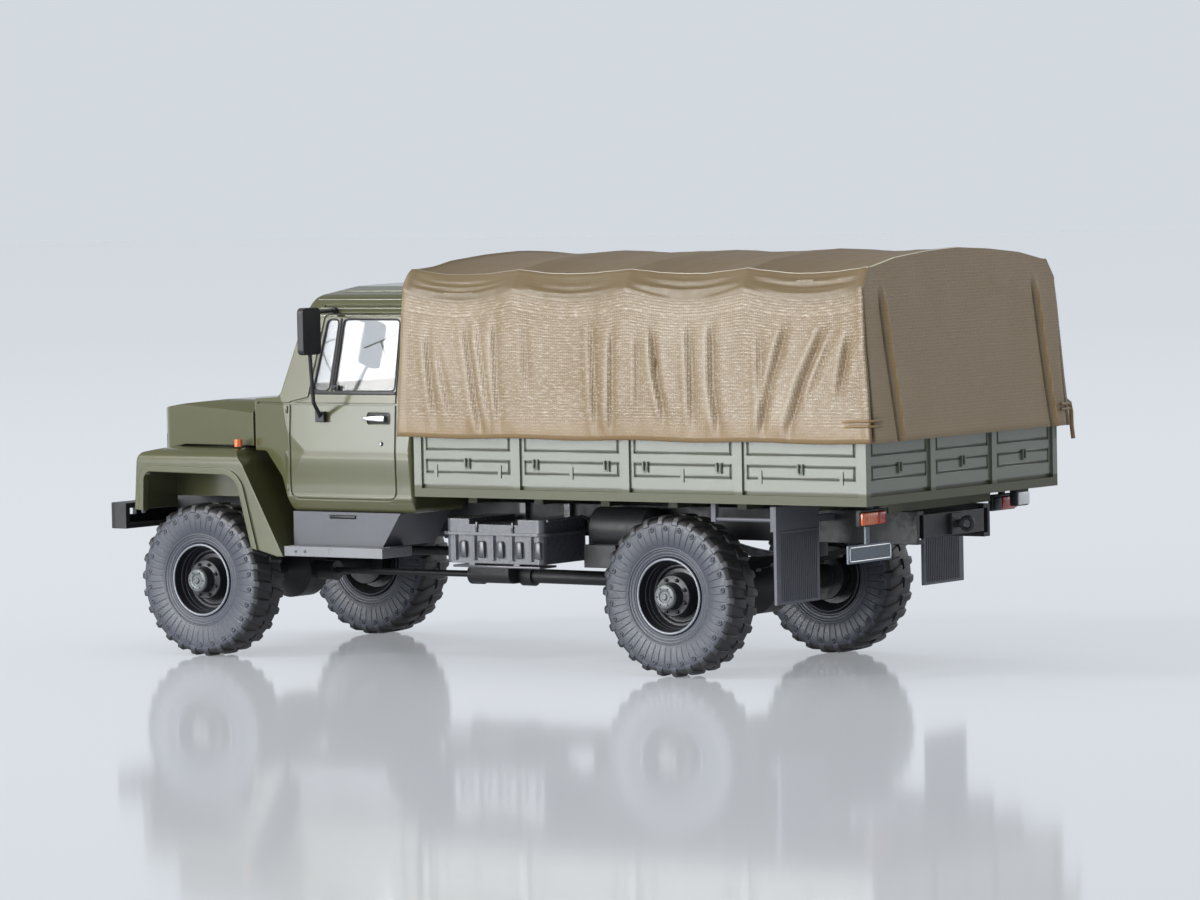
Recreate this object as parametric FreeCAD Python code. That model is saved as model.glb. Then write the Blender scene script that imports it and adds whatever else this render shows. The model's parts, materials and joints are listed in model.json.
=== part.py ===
import FreeCAD, Part
import math
import os

# Collector's scale model of a bonneted four-wheel-drive cargo truck with a covered dropside bed.
# Millimetres, +Z up, the front faces -Y, the left side is +X.
# The origin lies on the ground under the middle of the bounding box.

os.makedirs("parts", exist_ok=True)

overrun = 2.0
seat_gap = 0.05
middle_share = 0.5

# Layout of the running gear
wheelbase = 87.7
front_overhang = 20.0
rear_overhang = 37.5
half_track = 21.2
tyre_radius = 11.85
tyre_half_width = 3.48
nose_y = -(front_overhang + wheelbase + rear_overhang) / 2
front_axle_y = nose_y + front_overhang
rear_axle_y = front_axle_y + wheelbase
tail_y = rear_axle_y + rear_overhang
axle_z = tyre_radius

# Chassis frame
rail_spread = 10.0
rail_width = 1.7
rail_web = 0.6
rail_bottom_z = 19.2
rail_height = 4.8
rail_tail_setback = 3.6
rail_top_z = rail_bottom_z + rail_height
rail_rear_y = tail_y - rail_tail_setback

# Cab
cab_half_width = 23.6
cab_front_setback = 9.0
cab_length = 32.0
cab_bottom_z = 22.8
cab_height = 34.5
cab_wall = 0.8
firewall_setback = 3.4
cab_front_y = front_axle_y + cab_front_setback
cab_rear_y = cab_front_y + cab_length
firewall_y = cab_front_y + firewall_setback

# Load bed
bed_half_width = 26.35
bed_gap_to_cab = 2.5
bed_length = 80.0
floor_thickness = 1.3
bearer_height = 1.7
board_height = 11.0
board_thickness = 0.9
post_relief = 0.35
bed_front_y = cab_rear_y + bed_gap_to_cab
bed_rear_y = bed_front_y + bed_length
floor_bottom_z = rail_top_z + bearer_height
floor_top_z = floor_bottom_z + floor_thickness
board_face_x = bed_half_width - post_relief

# Canvas cover, a moulded shell that is open underneath
cover_half_width = 27.4
cover_front_gap = 0.2
cover_front_lean = 0.8
cover_rear_lean = 2.2
cover_hem_z = 34.6
cover_height = 27.1
cover_wall = 0.7
cover_front_y = cab_rear_y + cover_front_gap


def vector(x, y, z):
    return FreeCAD.Vector(x, y, z)


def box(x0, x1, y0, y1, z0, z1):
    return Part.makeBox(x1 - x0, y1 - y0, z1 - z0, vector(x0, y0, z0))


def rod(start, end, radius):
    return Part.makeCylinder(radius, (end - start).Length, start, end - start)


def mirrored(shape):
    return shape.mirror(vector(0, 0, 0), vector(1, 0, 0))


def fused(shapes):
    shapes = list(shapes)
    return shapes[0].multiFuse(shapes[1:]).removeSplitter() if len(shapes) > 1 else shapes[0]


def together(shapes):
    return Part.makeCompound(list(shapes))


def pair(shape):
    return together([shape, mirrored(shape)])


def stations(start, end, count):
    return [start + (end - start) * i / (count - 1) for i in range(count)]


def placed(shares, start, length, base, height, corner=0):
    # Points of an outline from shares: (along, up) or (along, up, share of the corner radius).
    points = []
    for share in shares:
        radius = corner * share[2] if len(share) > 2 else 0
        points.append((start + share[0] * length, base + share[1] * height, radius))
    return points


def both_sides(half_points):
    # Closes a half outline, given from the bottom to the top, with its mirror image.
    back = [(-p[0], p[1], p[2]) for p in reversed(half_points) if p[0] != 0]
    return list(half_points) + back


def inset(points, wall):
    # Moves every side of a closed outline inward by one wall and fits the corner radii to it.
    count = len(points)
    area = sum(points[i - 1][0] * points[i][1] - points[i][0] * points[i - 1][1] for i in range(count))
    turn = math.copysign(1, area)
    moved = []
    for i in range(count):
        before, here, after = points[i - 1], points[i], points[(i + 1) % count]
        first = (here[0] - before[0], here[1] - before[1])
        second = (after[0] - here[0], after[1] - here[1])
        first_length, second_length = math.hypot(*first), math.hypot(*second)
        normal_a = (-first[1] * turn / first_length, first[0] * turn / first_length)
        normal_b = (-second[1] * turn / second_length, second[0] * turn / second_length)
        step = wall / (1 + normal_a[0] * normal_b[0] + normal_a[1] * normal_b[1])
        outer_corner = (first[0] * second[1] - first[1] * second[0]) * turn > 0
        radius = here[2] - wall if outer_corner else here[2] + wall
        moved.append((here[0] + (normal_a[0] + normal_b[0]) * step,
                      here[1] + (normal_a[1] + normal_b[1]) * step,
                      max(radius, 0) if here[2] else 0))
    return moved


def wire(points, place):
    # A closed outline with tangent arcs at its rounded corners; place turns (a, b) into a vector.
    count = len(points)
    corners = []
    for i in range(count):
        before, here, after = points[i - 1], points[i], points[(i + 1) % count]
        u = (before[0] - here[0], before[1] - here[1])
        v = (after[0] - here[0], after[1] - here[1])
        u_length, v_length = math.hypot(*u), math.hypot(*v)
        u = (u[0] / u_length, u[1] / u_length)
        v = (v[0] / v_length, v[1] / v_length)
        half_angle = math.acos(max(-1, min(1, u[0] * v[0] + u[1] * v[1]))) / 2
        if here[2] == 0 or half_angle > math.radians(89):
            corners.append((here[:2], None, here[:2]))
            continue
        reach = min(here[2] / math.tan(half_angle), u_length * 0.45, v_length * 0.45)
        away = reach * math.tan(half_angle) * (1 / math.sin(half_angle) - 1)
        middle = (u[0] + v[0], u[1] + v[1])
        size = math.hypot(*middle)
        corners.append(((here[0] + u[0] * reach, here[1] + u[1] * reach),
                        (here[0] + middle[0] / size * away, here[1] + middle[1] / size * away),
                        (here[0] + v[0] * reach, here[1] + v[1] * reach)))
    edges = []
    for i in range(count):
        start, top, end = corners[i]
        if top is not None:
            edges.append(Part.Arc(place(*start), place(*top), place(*end)).toShape())
        edges.append(Part.makeLine(place(*end), place(*corners[(i + 1) % count][0])))
    return Part.Wire(edges)


def prism_x(points, x0, x1):
    face = Part.Face(wire(points, lambda y, z: vector(x0, y, z)))
    return face.extrude(vector(x1 - x0, 0, 0))


def prism_y(points, y0, y1):
    face = Part.Face(wire(points, lambda x, z: vector(x, y0, z)))
    return face.extrude(vector(0, y1 - y0, 0))


def prism_z(points, z0, z1):
    face = Part.Face(wire(points, lambda x, y: vector(x, y, z0)))
    return face.extrude(vector(0, 0, z1 - z0))


def turned(points, centre, axis):
    # Revolves an outline of (along, radius) points about an axis through the centre.
    side = vector(0, 0, 1) if abs(axis.z) < 1 else vector(1, 0, 0)
    face = Part.Face(wire([(a, r, 0) for a, r in points], lambda a, r: centre + axis * a + side * r))
    return face.revolve(centre, axis, 360)


def ring(radius, thickness, centre, axis):
    # A ring with a six-sided section.
    section = [(thickness * math.cos(math.radians(60 * i)), radius + thickness * math.sin(math.radians(60 * i)))
               for i in range(6)]
    return turned(section, centre, axis)


def rectangle(a0, a1, b0, b1, radius=0):
    return [(a0, b0, radius), (a1, b0, radius), (a1, b1, radius), (a0, b1, radius)]


across = vector(1, 0, 0)
along = vector(0, 1, 0)
upward = vector(0, 0, 1)


# Bumper: a channel beam, open to the rear, on the front ends of the rails
bumper_half_width = 22.5
bumper_depth = 3.8
bumper_bottom_z = 19.3
bumper_height = 4.0
bumper_wall = 0.8
bumper_corner = 1.6
bumper_holes = ((0.65, 1.0), (0.764, 1.6))
bumper_hole_margin = 1.1
bumper_rear_y = nose_y + bumper_depth


def front_bumper():
    plan = rectangle(-bumper_half_width, bumper_half_width, nose_y, bumper_rear_y + bumper_corner)
    plan = [(p[0], p[1], bumper_corner if p[1] == nose_y else 0) for p in plan]
    top = bumper_bottom_z + bumper_height
    beam = prism_z(plan, bumper_bottom_z, top)
    beam = beam.cut(box(-bumper_half_width - overrun, bumper_half_width + overrun, bumper_rear_y,
                        bumper_rear_y + bumper_corner + overrun, bumper_bottom_z - overrun, top + overrun))
    hollow = prism_z(inset(plan, bumper_wall), bumper_bottom_z + bumper_wall, top - bumper_wall)
    opening = box(-bumper_half_width + bumper_wall * 2, bumper_half_width - bumper_wall * 2,
                  bumper_rear_y - bumper_wall, bumper_rear_y + bumper_corner + overrun,
                  bumper_bottom_z + bumper_wall, top - bumper_wall)
    slots = []
    for share, width in bumper_holes:
        for side in (-1, 1):
            x = side * share * bumper_half_width
            slots.append(box(x - width / 2, x + width / 2, nose_y - overrun, bumper_rear_y - bumper_wall,
                             bumper_bottom_z + bumper_hole_margin + bumper_wall, top - bumper_hole_margin))
    return beam.cut(fused([hollow, opening])).cut(together(slots))


# Chassis frame: two channel rails, open towards each other, and cross-members between them
crossmember_thickness = 1.2
crossmember_depth = 3.4
screw_post_shares = (0.048, 0.825)
crossmember_shares = (0.321, 0.411, 0.50, 0.66, 1.0) + screw_post_shares


def frame_rail():
    solid = box(rail_spread - rail_width, rail_spread, bumper_rear_y, rail_rear_y, rail_bottom_z, rail_top_z)
    hollow = box(rail_spread - rail_width - overrun, rail_spread - rail_web, bumper_rear_y - overrun,
                 rail_rear_y + overrun, rail_bottom_z + rail_web, rail_top_z - rail_web)
    return solid.cut(hollow)


def crossmember_y(share):
    length = rail_rear_y - bumper_rear_y - crossmember_thickness
    return bumper_rear_y + share * length


def crossmember_span():
    top = rail_top_z - rail_web
    return top - crossmember_depth, top


def frame_crossmembers():
    half = rail_spread - rail_width
    bottom, top = crossmember_span()
    return together(box(-half, half, crossmember_y(share), crossmember_y(share) + crossmember_thickness,
                        bottom, top) for share in crossmember_shares)


# Screw posts under two cross-members, which take the screws of the display base
post_radius = 2.2
post_length = 3.6
post_bore_radius = 1.0
post_bore_depth = 3.0


def screw_post(share):
    y = crossmember_y(share) + crossmember_thickness / 2
    top = crossmember_span()[0]
    post = rod(vector(0, y, top - post_length), vector(0, y, top), post_radius)
    bore = rod(vector(0, y, top - post_length - overrun),
               vector(0, y, top - post_length + post_bore_depth), post_bore_radius)
    return post.cut(bore)


# Axles: a tubular housing with a differential bulb, end flanges and stub pins for the wheels
axle_tube_radius = 1.8
bulb_radius = 4.3
bulb_half_width = 2.2
bulb_taper = 2.6
nose_radius = 1.5
nose_length = 5.6
flange_radius = 3.6
flange_thickness = 0.9
flange_gap = 0.25
pin_radius = 0.75
pin_end_gap = 0.3
wheel_inner_face = 3.1
hub_cap_reach = 4.35
hub_cap_wall = 0.6


def axle(y, nose_side):
    inner = half_track - wheel_inner_face - flange_gap
    pin_end = half_track + hub_cap_reach - hub_cap_wall - pin_end_gap
    half = [(bulb_half_width, bulb_radius), (bulb_half_width + bulb_taper, axle_tube_radius),
            (inner - flange_thickness, axle_tube_radius), (inner - flange_thickness, flange_radius),
            (inner, flange_radius), (inner, pin_radius), (pin_end, pin_radius), (pin_end, 0)]
    outline = [(-a, r) for a, r in reversed(half)] + half
    centre = vector(0, y, axle_z)
    nose_end = centre + along * nose_side * nose_length
    return fused([turned(outline, centre, across), rod(centre, nose_end, nose_radius)])


# Leaf springs: stacks of curved leaves between hangers under the rails
leaf_thickness = 0.42
leaf_width = 1.3
leaf_count = 4
leaf_step_share = 0.19
spring_sag = 2.3
spring_seat_height = 0.5
hanger_length = 1.6
front_spring_half_length = 11.0
rear_spring_half_length = 13.5


def leaf_band(y, half_length, base_z, rise):
    def arc(offset):
        ends = base_z + offset + rise
        return Part.Arc(vector(0, y - half_length, ends), vector(0, y, base_z + offset),
                        vector(0, y + half_length, ends))
    low, high = arc(0).toShape(), arc(leaf_thickness).toShape()
    sides = [Part.makeLine(vector(0, y + side * half_length, base_z + rise),
                           vector(0, y + side * half_length, base_z + rise + leaf_thickness))
             for side in (-1, 1)]
    return Part.Face(Part.Wire([low, sides[1], high, sides[0]]))


def leaf_spring(y, half_length):
    x0 = rail_spread - rail_width / 2 - leaf_width / 2
    base = axle_z + axle_tube_radius + spring_seat_height
    leaves = []
    for i in range(leaf_count):
        share = 1 - (leaf_count - 1 - i) * leaf_step_share
        band = leaf_band(y, half_length * share, base + i * leaf_thickness, spring_sag * share ** 2)
        leaves.append(band.extrude(across * leaf_width))
    stack = fused(leaves)
    tip_z = base + (leaf_count - 1) * leaf_thickness + spring_sag
    hangers = [box(0, leaf_width, y + side * half_length - hanger_length / 2,
                   y + side * half_length + hanger_length / 2, tip_z, rail_bottom_z) for side in (-1, 1)]
    seat = box(0, leaf_width, y - hanger_length, y + hanger_length, axle_z + axle_tube_radius, base + leaf_thickness)
    spring = fused([stack, seat] + hangers)
    return spring.translated(vector(x0, 0, 0))


def springs(y, half_length):
    return pair(leaf_spring(y, half_length))


# Power unit: engine, gearbox and radiator as plain blocks at their real place
engine_half_width = 6.2
engine_front_setback = -4.5
engine_length = 15.0
engine_bottom_z = 16.8
engine_height = 14.4
gearbox_half_width = 3.1
gearbox_length = 13.0
gearbox_bottom_z = 16.2
gearbox_height = 5.0
engine_corner = 1.2
engine_front_y = front_axle_y + engine_front_setback
engine_rear_y = engine_front_y + engine_length
gearbox_rear_y = engine_rear_y + gearbox_length


def engine_gearbox():
    block = prism_y(rectangle(-engine_half_width, engine_half_width, engine_bottom_z,
                              engine_bottom_z + engine_height, engine_corner), engine_front_y, engine_rear_y)
    gearbox = prism_y(rectangle(-gearbox_half_width, gearbox_half_width, gearbox_bottom_z,
                                gearbox_bottom_z + gearbox_height, engine_corner),
                      engine_rear_y - engine_corner, gearbox_rear_y)
    return fused([block, gearbox])


# Transfer case hung under a cross-member, and the propeller shafts from the gearbox and to both axles
transfer_half_width = 4.0
transfer_length = 7.5
transfer_bottom_z = 10.9
transfer_corner = 1.4
shaft_radius = 1.1
thin_shaft_radius = 0.5
joint_radius = 1.55
joint_length = 2.2
shaft_z = 12.0
transfer_setback = 36.6
transfer_front_y = front_axle_y + transfer_setback
transfer_rear_y = transfer_front_y + transfer_length


def transfer_case():
    bottom = crossmember_span()[0]
    body = prism_y(rectangle(-transfer_half_width, transfer_half_width, transfer_bottom_z, bottom,
                             transfer_corner), transfer_front_y, transfer_rear_y)
    return body


def propshaft(start, end, radius):
    direction = (end - start).normalize()
    return fused([rod(start, end, radius), rod(start, start + direction * joint_length, joint_radius),
                  rod(end - direction * joint_length, end, joint_radius)])


def propshafts():
    rear = propshaft(vector(0, transfer_rear_y + seat_gap, shaft_z),
                     vector(0, rear_axle_y - nose_length - seat_gap, axle_z), shaft_radius)
    front = propshaft(vector(0, transfer_front_y - seat_gap, shaft_z),
                      vector(0, front_axle_y + nose_length + seat_gap, axle_z), thin_shaft_radius)
    z = gearbox_bottom_z + gearbox_height / 2
    short = propshaft(vector(0, gearbox_rear_y + seat_gap, z), vector(0, transfer_front_y - seat_gap, z), shaft_radius)
    return together([rear, front, short])


# Exhaust pipe inside the right rail, silencer and tailpipe outside it
silencer_radius = 2.0
silencer_x = -13.2
silencer_z = 20.6
silencer_setback = 68.5
silencer_length = 9.0
tailpipe_radius = 0.75
tailpipe_length = 14.0
pipe_z = 14.8
pipe_rise = 3.7
pipe_bend_length = 5.0
pipe_entry = 0.5


def exhaust():
    y = front_axle_y + silencer_setback
    start = vector(silencer_x, y, silencer_z)
    body = rod(start, start + along * silencer_length, silencer_radius)
    pipe = rod(start + along * silencer_length, start + along * (silencer_length + tailpipe_length),
               tailpipe_radius)
    strap = box(silencer_x, -rail_spread, y + silencer_length / 2, y + silencer_length / 2 + rail_web,
                silencer_z - rail_web, silencer_z + rail_web)
    x = -engine_half_width - tailpipe_radius - seat_gap
    bend_y = engine_rear_y + pipe_bend_length / 2
    points = [start + along * pipe_entry, vector(x, y - pipe_entry, pipe_z), vector(x, bend_y, pipe_z),
              vector(x, bend_y - pipe_bend_length, pipe_z + pipe_rise)]
    front = [rod(a, b, tailpipe_radius) for a, b in zip(points, points[1:])]
    knees = [Part.makeSphere(tailpipe_radius, point) for point in points[1:-1]]
    return fused([body, pipe, strap] + front + knees)


# Fuel tanks: two pressed half shells with a flange between them, ribs outside and hanger straps
tank_setback = 47.3
tank_length = 17.9
tank_inner_x = 12.4
tank_outer_x = 24.0
tank_bottom_z = 15.8
tank_seam_z = 20.0
tank_top_z = 22.4
tank_middle_drop = 0.8
tank_middle_share = 0.5
tank_corner = 1.0
flange_reach = 0.6
flange_height = 0.45
rib_count = 5
rib_width = 0.9
rib_relief = 0.42
strap_width = 1.1
strap_thickness = 0.5


def fuel_tank():
    y0 = front_axle_y + tank_setback
    y1 = y0 + tank_length
    plan = rectangle(tank_inner_x, tank_outer_x, y0, y1, tank_corner)
    body = prism_z(plan, tank_bottom_z, tank_top_z)
    flange = prism_z(inset(plan, -flange_reach), tank_seam_z, tank_seam_z + flange_height)
    middle = tank_length * (1 - tank_middle_share) / 2
    dip = box(tank_inner_x - overrun, tank_outer_x + overrun, y0 + middle, y1 - middle,
              tank_top_z - tank_middle_drop, tank_top_z + overrun)
    rib_start = tank_bottom_z + tank_corner / 2
    ribs = [prism_z([(tank_outer_x, y - rib_width / 2, 0), (tank_outer_x + rib_relief, y - rib_width / 5, 0),
                     (tank_outer_x + rib_relief, y + rib_width / 5, 0), (tank_outer_x, y + rib_width / 2, 0)],
                    rib_start, tank_seam_z)
            for y in stations(y0 + tank_corner * 2, y1 - tank_corner * 2, rib_count)]
    tank = fused([body.cut(dip), flange] + ribs)
    return fused([tank] + [tank_strap(y0 + tank_length * share) for share in (0.27, 0.73)])


def tank_strap(y):
    y0, y1 = y - strap_width / 2, y + strap_width / 2
    low = tank_bottom_z - strap_thickness
    under = box(rail_spread, tank_outer_x, y0, y1, low, tank_bottom_z)
    leg = box(rail_spread, rail_spread + strap_thickness * 2, y0, y1, low, rail_top_z)
    arm = box(rail_spread, tank_inner_x, y0, y1, low, tank_bottom_z + strap_thickness * 2)
    return fused([under, leg, arm])


# Air reservoir ahead of the left rear wheel
reservoir_radius = 3.0
reservoir_length = 11.5
reservoir_dome = 1.0
reservoir_x = 13.6
reservoir_z = 20.9
reservoir_gap = 1.6
carrier_length = 5.7
carrier_drop = 2.9


def air_reservoir():
    y = front_axle_y + tank_setback + tank_length + flange_reach + reservoir_gap
    outline = [(0, 0), (0, reservoir_radius - reservoir_dome), (reservoir_dome, reservoir_radius),
               (reservoir_length - reservoir_dome, reservoir_radius),
               (reservoir_length, reservoir_radius - reservoir_dome), (reservoir_length, 0)]
    tank = turned(outline, vector(reservoir_x, y, reservoir_z), along)
    hanger = box(rail_spread, reservoir_x, y + reservoir_length / 2, y + reservoir_length / 2 + strap_width,
                 reservoir_z - strap_thickness, reservoir_z + strap_thickness)
    bottom = reservoir_z - reservoir_radius
    carrier = box(rail_spread, reservoir_x + reservoir_radius, y, y + carrier_length, bottom - carrier_drop,
                  bottom + strap_thickness)
    return fused([tank, hanger, carrier])


# Steps under the doors and the boxes behind them
step_setback = 17.6
step_length = 18.8
step_inner_x = 18.0
step_outer_x = 25.4
step_bottom_z = 16.1
step_height = 1.5
step_wall = 0.5
box_side_setback = 0.6
box_length = 20.6
box_tail_share = 0.83


def step():
    y0 = front_axle_y + step_setback
    y1 = y0 + step_length
    solid = box(step_inner_x, step_outer_x, y0, y1, step_bottom_z, step_bottom_z + step_height)
    hollow = box(step_inner_x - overrun, step_outer_x - step_wall, y0 + step_wall, y1 - step_wall,
                 step_bottom_z - overrun, step_bottom_z + step_height - step_wall)
    return solid.cut(hollow)


def step_box():
    y0 = front_axle_y + step_setback
    low = step_bottom_z + step_height
    shares = ((0, 0), (box_tail_share, 0), (1, 1), (0, 1))
    points = placed(shares, y0, box_length, low, cab_bottom_z - low)
    return prism_x(points, rail_spread, cab_half_width - box_side_setback)


# Mud flaps behind the rear wheels, each on a bent rod from the rail
flap_setback = 107.0
flap_inner_x = 14.2
flap_outer_x = 25.4
flap_bottom_z = 11.2
flap_hinge_z = 21.7
flap_thickness = 0.5
flap_top_gap = 0.35
stay_radius = 0.3
stay_reach = 11.0
stay_side_setback = 1.4
stay_drop = 2.4
stay_block = 0.4


def mudflap():
    y = front_axle_y + flap_setback
    top = floor_bottom_z - flap_top_gap
    rubber = box(flap_inner_x, flap_outer_x, y, y + flap_thickness, flap_bottom_z, flap_hinge_z)
    holder = box(flap_inner_x, flap_outer_x, y - flap_thickness, y + flap_thickness, flap_hinge_z, top)
    arm = box(rail_spread, flap_inner_x, y - flap_thickness, y + flap_thickness,
              rail_top_z - flap_thickness * 3, rail_top_z - flap_thickness)
    x, z = flap_outer_x - stay_side_setback, floor_bottom_z - stay_drop
    y0 = y - stay_reach
    stay = [rod(vector(x, y0, z), vector(x, y, z), stay_radius),
            box(x - stay_block, x + stay_block, y0 - stay_block, y0 + stay_block, z - stay_block,
                floor_bottom_z - seat_gap)]
    return fused([rubber, holder, arm] + stay)


# Cab: crossing a side, a front and a plan outline gives the outer form, insets give the walls
cab_corner = 2.2
cab_side_shares = ((0.0, 0.264), (0.0, 0.494, 0.3), (0.202, 0.505, 0.6), (0.346, 0.942, 1.2), (0.495, 0.994, 1.6),
                   (0.786, 1.0, 2.0), (0.976, 0.974, 0.8), (1.0, 0.904, 0.8), (1.0, 0.0, 0.4), (0.272, 0.0, 0.4),
                   (0.211, 0.151, 0.6), (0.092, 0.264, 0.6))
cab_front_shares = ((0.0, 0.0), (0.958, 0.0, 0.5), (0.99, 0.05, 1.0), (1.0, 0.27, 2.0), (0.983, 0.478, 2.0),
                    (0.972, 0.528, 1.0), (0.895, 0.862, 1.0), (0.82, 0.948, 1.0), (0.6, 0.987, 2.0), (0.0, 1.0, 4.0))
cab_plan_shares = ((0.905, 0.0, 0.3), (0.955, 0.14, 1.0), (0.993, 0.25, 1.0), (1.0, 0.36, 1.0), (1.0, 1.0, 0.5))


def cab_side(wall):
    points = placed(cab_side_shares, cab_front_y, cab_length, cab_bottom_z, cab_height, cab_corner)
    return inset(points, wall)


def cab_form(wall):
    side = prism_x(cab_side(wall), -cab_half_width - overrun, cab_half_width + overrun)
    front = both_sides(placed(cab_front_shares, 0, cab_half_width, cab_bottom_z, cab_height, cab_corner))
    plan = placed(cab_plan_shares, 0, cab_half_width, cab_front_y, cab_length, cab_corner)
    plan = [(p[0], p[1], p[2]) for p in plan]
    plan = plan + [(-p[0], p[1], p[2]) for p in reversed(plan)]
    front_solid = prism_y(inset(front, wall), cab_front_y - overrun, cab_rear_y + overrun)
    plan_solid = prism_z(inset(plan, wall), cab_bottom_z - overrun, cab_bottom_z + cab_height + overrun)
    return side.common(front_solid).common(plan_solid)


# Windows, as shares of the cab's side and of its front
window_corner = 0.9
quarter_window_shares = ((0.400, 0.532, 1), (0.500, 0.532, 0.5), (0.530, 0.846, 0.5), (0.459, 0.846, 1))
door_window_shares = ((0.526, 0.532, 0.5), (0.890, 0.532, 1), (0.893, 0.846, 1), (0.556, 0.846, 0.5))
windscreen_shares = ((-0.80, 0.555, 1), (0.80, 0.555, 1), (0.72, 0.905, 1), (-0.72, 0.905, 1))
rear_window_shares = ((-0.36, 0.60, 1), (0.36, 0.60, 1), (0.36, 0.84, 1), (-0.36, 0.84, 1))
glass_recess = 0.18
glass_thickness = 0.35


def side_openings(gap):
    outlines = []
    for shares in (quarter_window_shares, door_window_shares):
        points = placed(shares, cab_front_y, cab_length, cab_bottom_z, cab_height, window_corner)
        outlines.append(inset(points, gap))
    reach = cab_half_width + overrun
    return fused(prism_x(points, -reach, reach) for points in outlines)


def screen_opening(gap):
    points = placed(windscreen_shares, 0, cab_half_width, cab_bottom_z, cab_height, window_corner)
    return prism_y(inset(points, gap), cab_front_y - overrun, cab_front_y + cab_length * middle_share)


def rear_opening(gap):
    points = placed(rear_window_shares, 0, cab_half_width, cab_bottom_z, cab_height, window_corner)
    return prism_y(inset(points, gap), cab_rear_y - cab_wall * 2, cab_rear_y + overrun)


# Lines pressed into the cab's skin: door edges, belt line, roof line, and the raised drip rail
door_shares = ((0.266, 0.052, 1), (0.905, 0.052, 1), (0.908, 0.868, 0.5), (0.440, 0.868, 0.5), (0.372, 0.506, 0),
               (0.266, 0.484, 0))
line_width = 0.3
line_depth = 0.2
door_corner = 1.6
belt_line_shares = (0.03, 0.97, 0.471, 0.480)
roof_line_shares = (0.42, 0.95, 0.901, 0.909)
drip_rail_shares = (0.405, 0.975, 0.873, 0.885)
drip_rail_relief = 0.3
recess_shares = (0.731, 0.870, 0.388, 0.441)
recess_depth = 0.35
recess_corner = 0.5


def cab_band(shares):
    # A band right across the cab between two shares of its length and two of its height.
    first, last, low, high = shares
    reach = cab_half_width + overrun
    return box(-reach, reach, cab_front_y + first * cab_length, cab_front_y + last * cab_length,
               cab_bottom_z + low * cab_height, cab_bottom_z + high * cab_height)


def door_line():
    reach = cab_half_width + overrun
    outline = placed(door_shares, cab_front_y, cab_length, cab_bottom_z, cab_height, door_corner)
    return prism_x(outline, -reach, reach).cut(prism_x(inset(outline, line_width), -reach, reach))


def handle_span(gap):
    first, last, low, high = recess_shares
    return rectangle(cab_front_y + first * cab_length + gap, cab_front_y + last * cab_length - gap,
                     cab_bottom_z + low * cab_height + gap, cab_bottom_z + high * cab_height - gap,
                     recess_corner)


def handle_recess():
    side = prism_x(handle_span(0), cab_half_width - recess_depth - line_depth, cab_half_width + overrun)
    return pair(side)


mouth_share = 0.92
bay_share = 0.86
rail_gap = 0.3
cab_floor_z = rail_top_z + seat_gap
cab_floor_top_z = cab_floor_z + cab_wall


def cab_shell(outer):
    low, top = cab_bottom_z, cab_bottom_z + cab_height
    half = cab_half_width * mouth_share
    room = cab_form(cab_wall).common(box(-cab_half_width, cab_half_width, firewall_y + cab_wall,
                                         cab_rear_y, low, top))
    mouth = box(-half, half, cab_mouth_y(), cab_rear_y - cab_wall * 2, low - overrun,
                cab_floor_top_z + cab_wall)
    notch_half = rail_spread + rail_gap
    notch = box(-notch_half, notch_half, cab_front_y - overrun, cab_rear_y + overrun, low - overrun,
                cab_floor_z)
    bay = cab_form(cab_wall).common(box(-cab_half_width, cab_half_width, cab_front_y, firewall_y, low, top))
    bay_side = cab_half_width * bay_share
    bay_low = cab_bottom_z + cab_height * cab_side_shares[0][1]
    bay_top = cab_bottom_z + cab_height * cab_side_shares[1][1] - cab_wall * 2
    bay_mouth = box(-bay_side, bay_side, cab_front_y - overrun, firewall_y, bay_low - overrun, bay_top)
    skin = outer.cut(cab_form(line_depth))
    lines = skin.common(fused([door_line(), cab_band(belt_line_shares), cab_band(roof_line_shares)]))
    drip_rail = cab_form(-drip_rail_relief).common(cab_band(drip_rail_shares)).cut(outer)
    shell = outer.cut(fused([room, mouth])).cut(fused([bay, bay_mouth])).cut(notch)
    shell = shell.cut(side_openings(0)).cut(screen_opening(0)).cut(rear_opening(0))
    return fused([shell.cut(lines).cut(handle_recess()), drip_rail])


def cab_mouth_y():
    return cab_front_y + cab_length * cab_side_shares[9][0] + cab_wall


def cab_floor():
    half = cab_half_width * mouth_share - seat_gap
    return box(-half, half, cab_mouth_y() + seat_gap, cab_rear_y - cab_wall * 2 - seat_gap,
               cab_floor_z, cab_floor_top_z)


def glazing():
    sheet = cab_form(glass_recess).cut(cab_form(glass_recess + glass_thickness))
    sides = sheet.common(side_openings(seat_gap))
    left = together(s for s in sides.Solids if s.CenterOfMass.x > 0)
    right = together(s for s in sides.Solids if s.CenterOfMass.x < 0)
    return {"side_window_left": left, "side_window_right": right,
            "windscreen": sheet.common(screen_opening(seat_gap)),
            "rear_window": sheet.common(rear_opening(seat_gap))}


# Cab furniture: driver's seat, double passenger seat, dashboard and steering wheel
seat_base_height = 4.4
seat_cushion_height = 2.6
seat_back_height = 11.0
seat_depth = 10.0
seat_back_depth = 2.4
seat_back_lean = 1.6
seat_wall_gap = 1.2
seat_corner = 0.7
driver_seat_inner_x = 4.6
driver_seat_outer_x = 15.2
bench_inner_x = 1.0
bench_outer_x = -17.6


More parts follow.
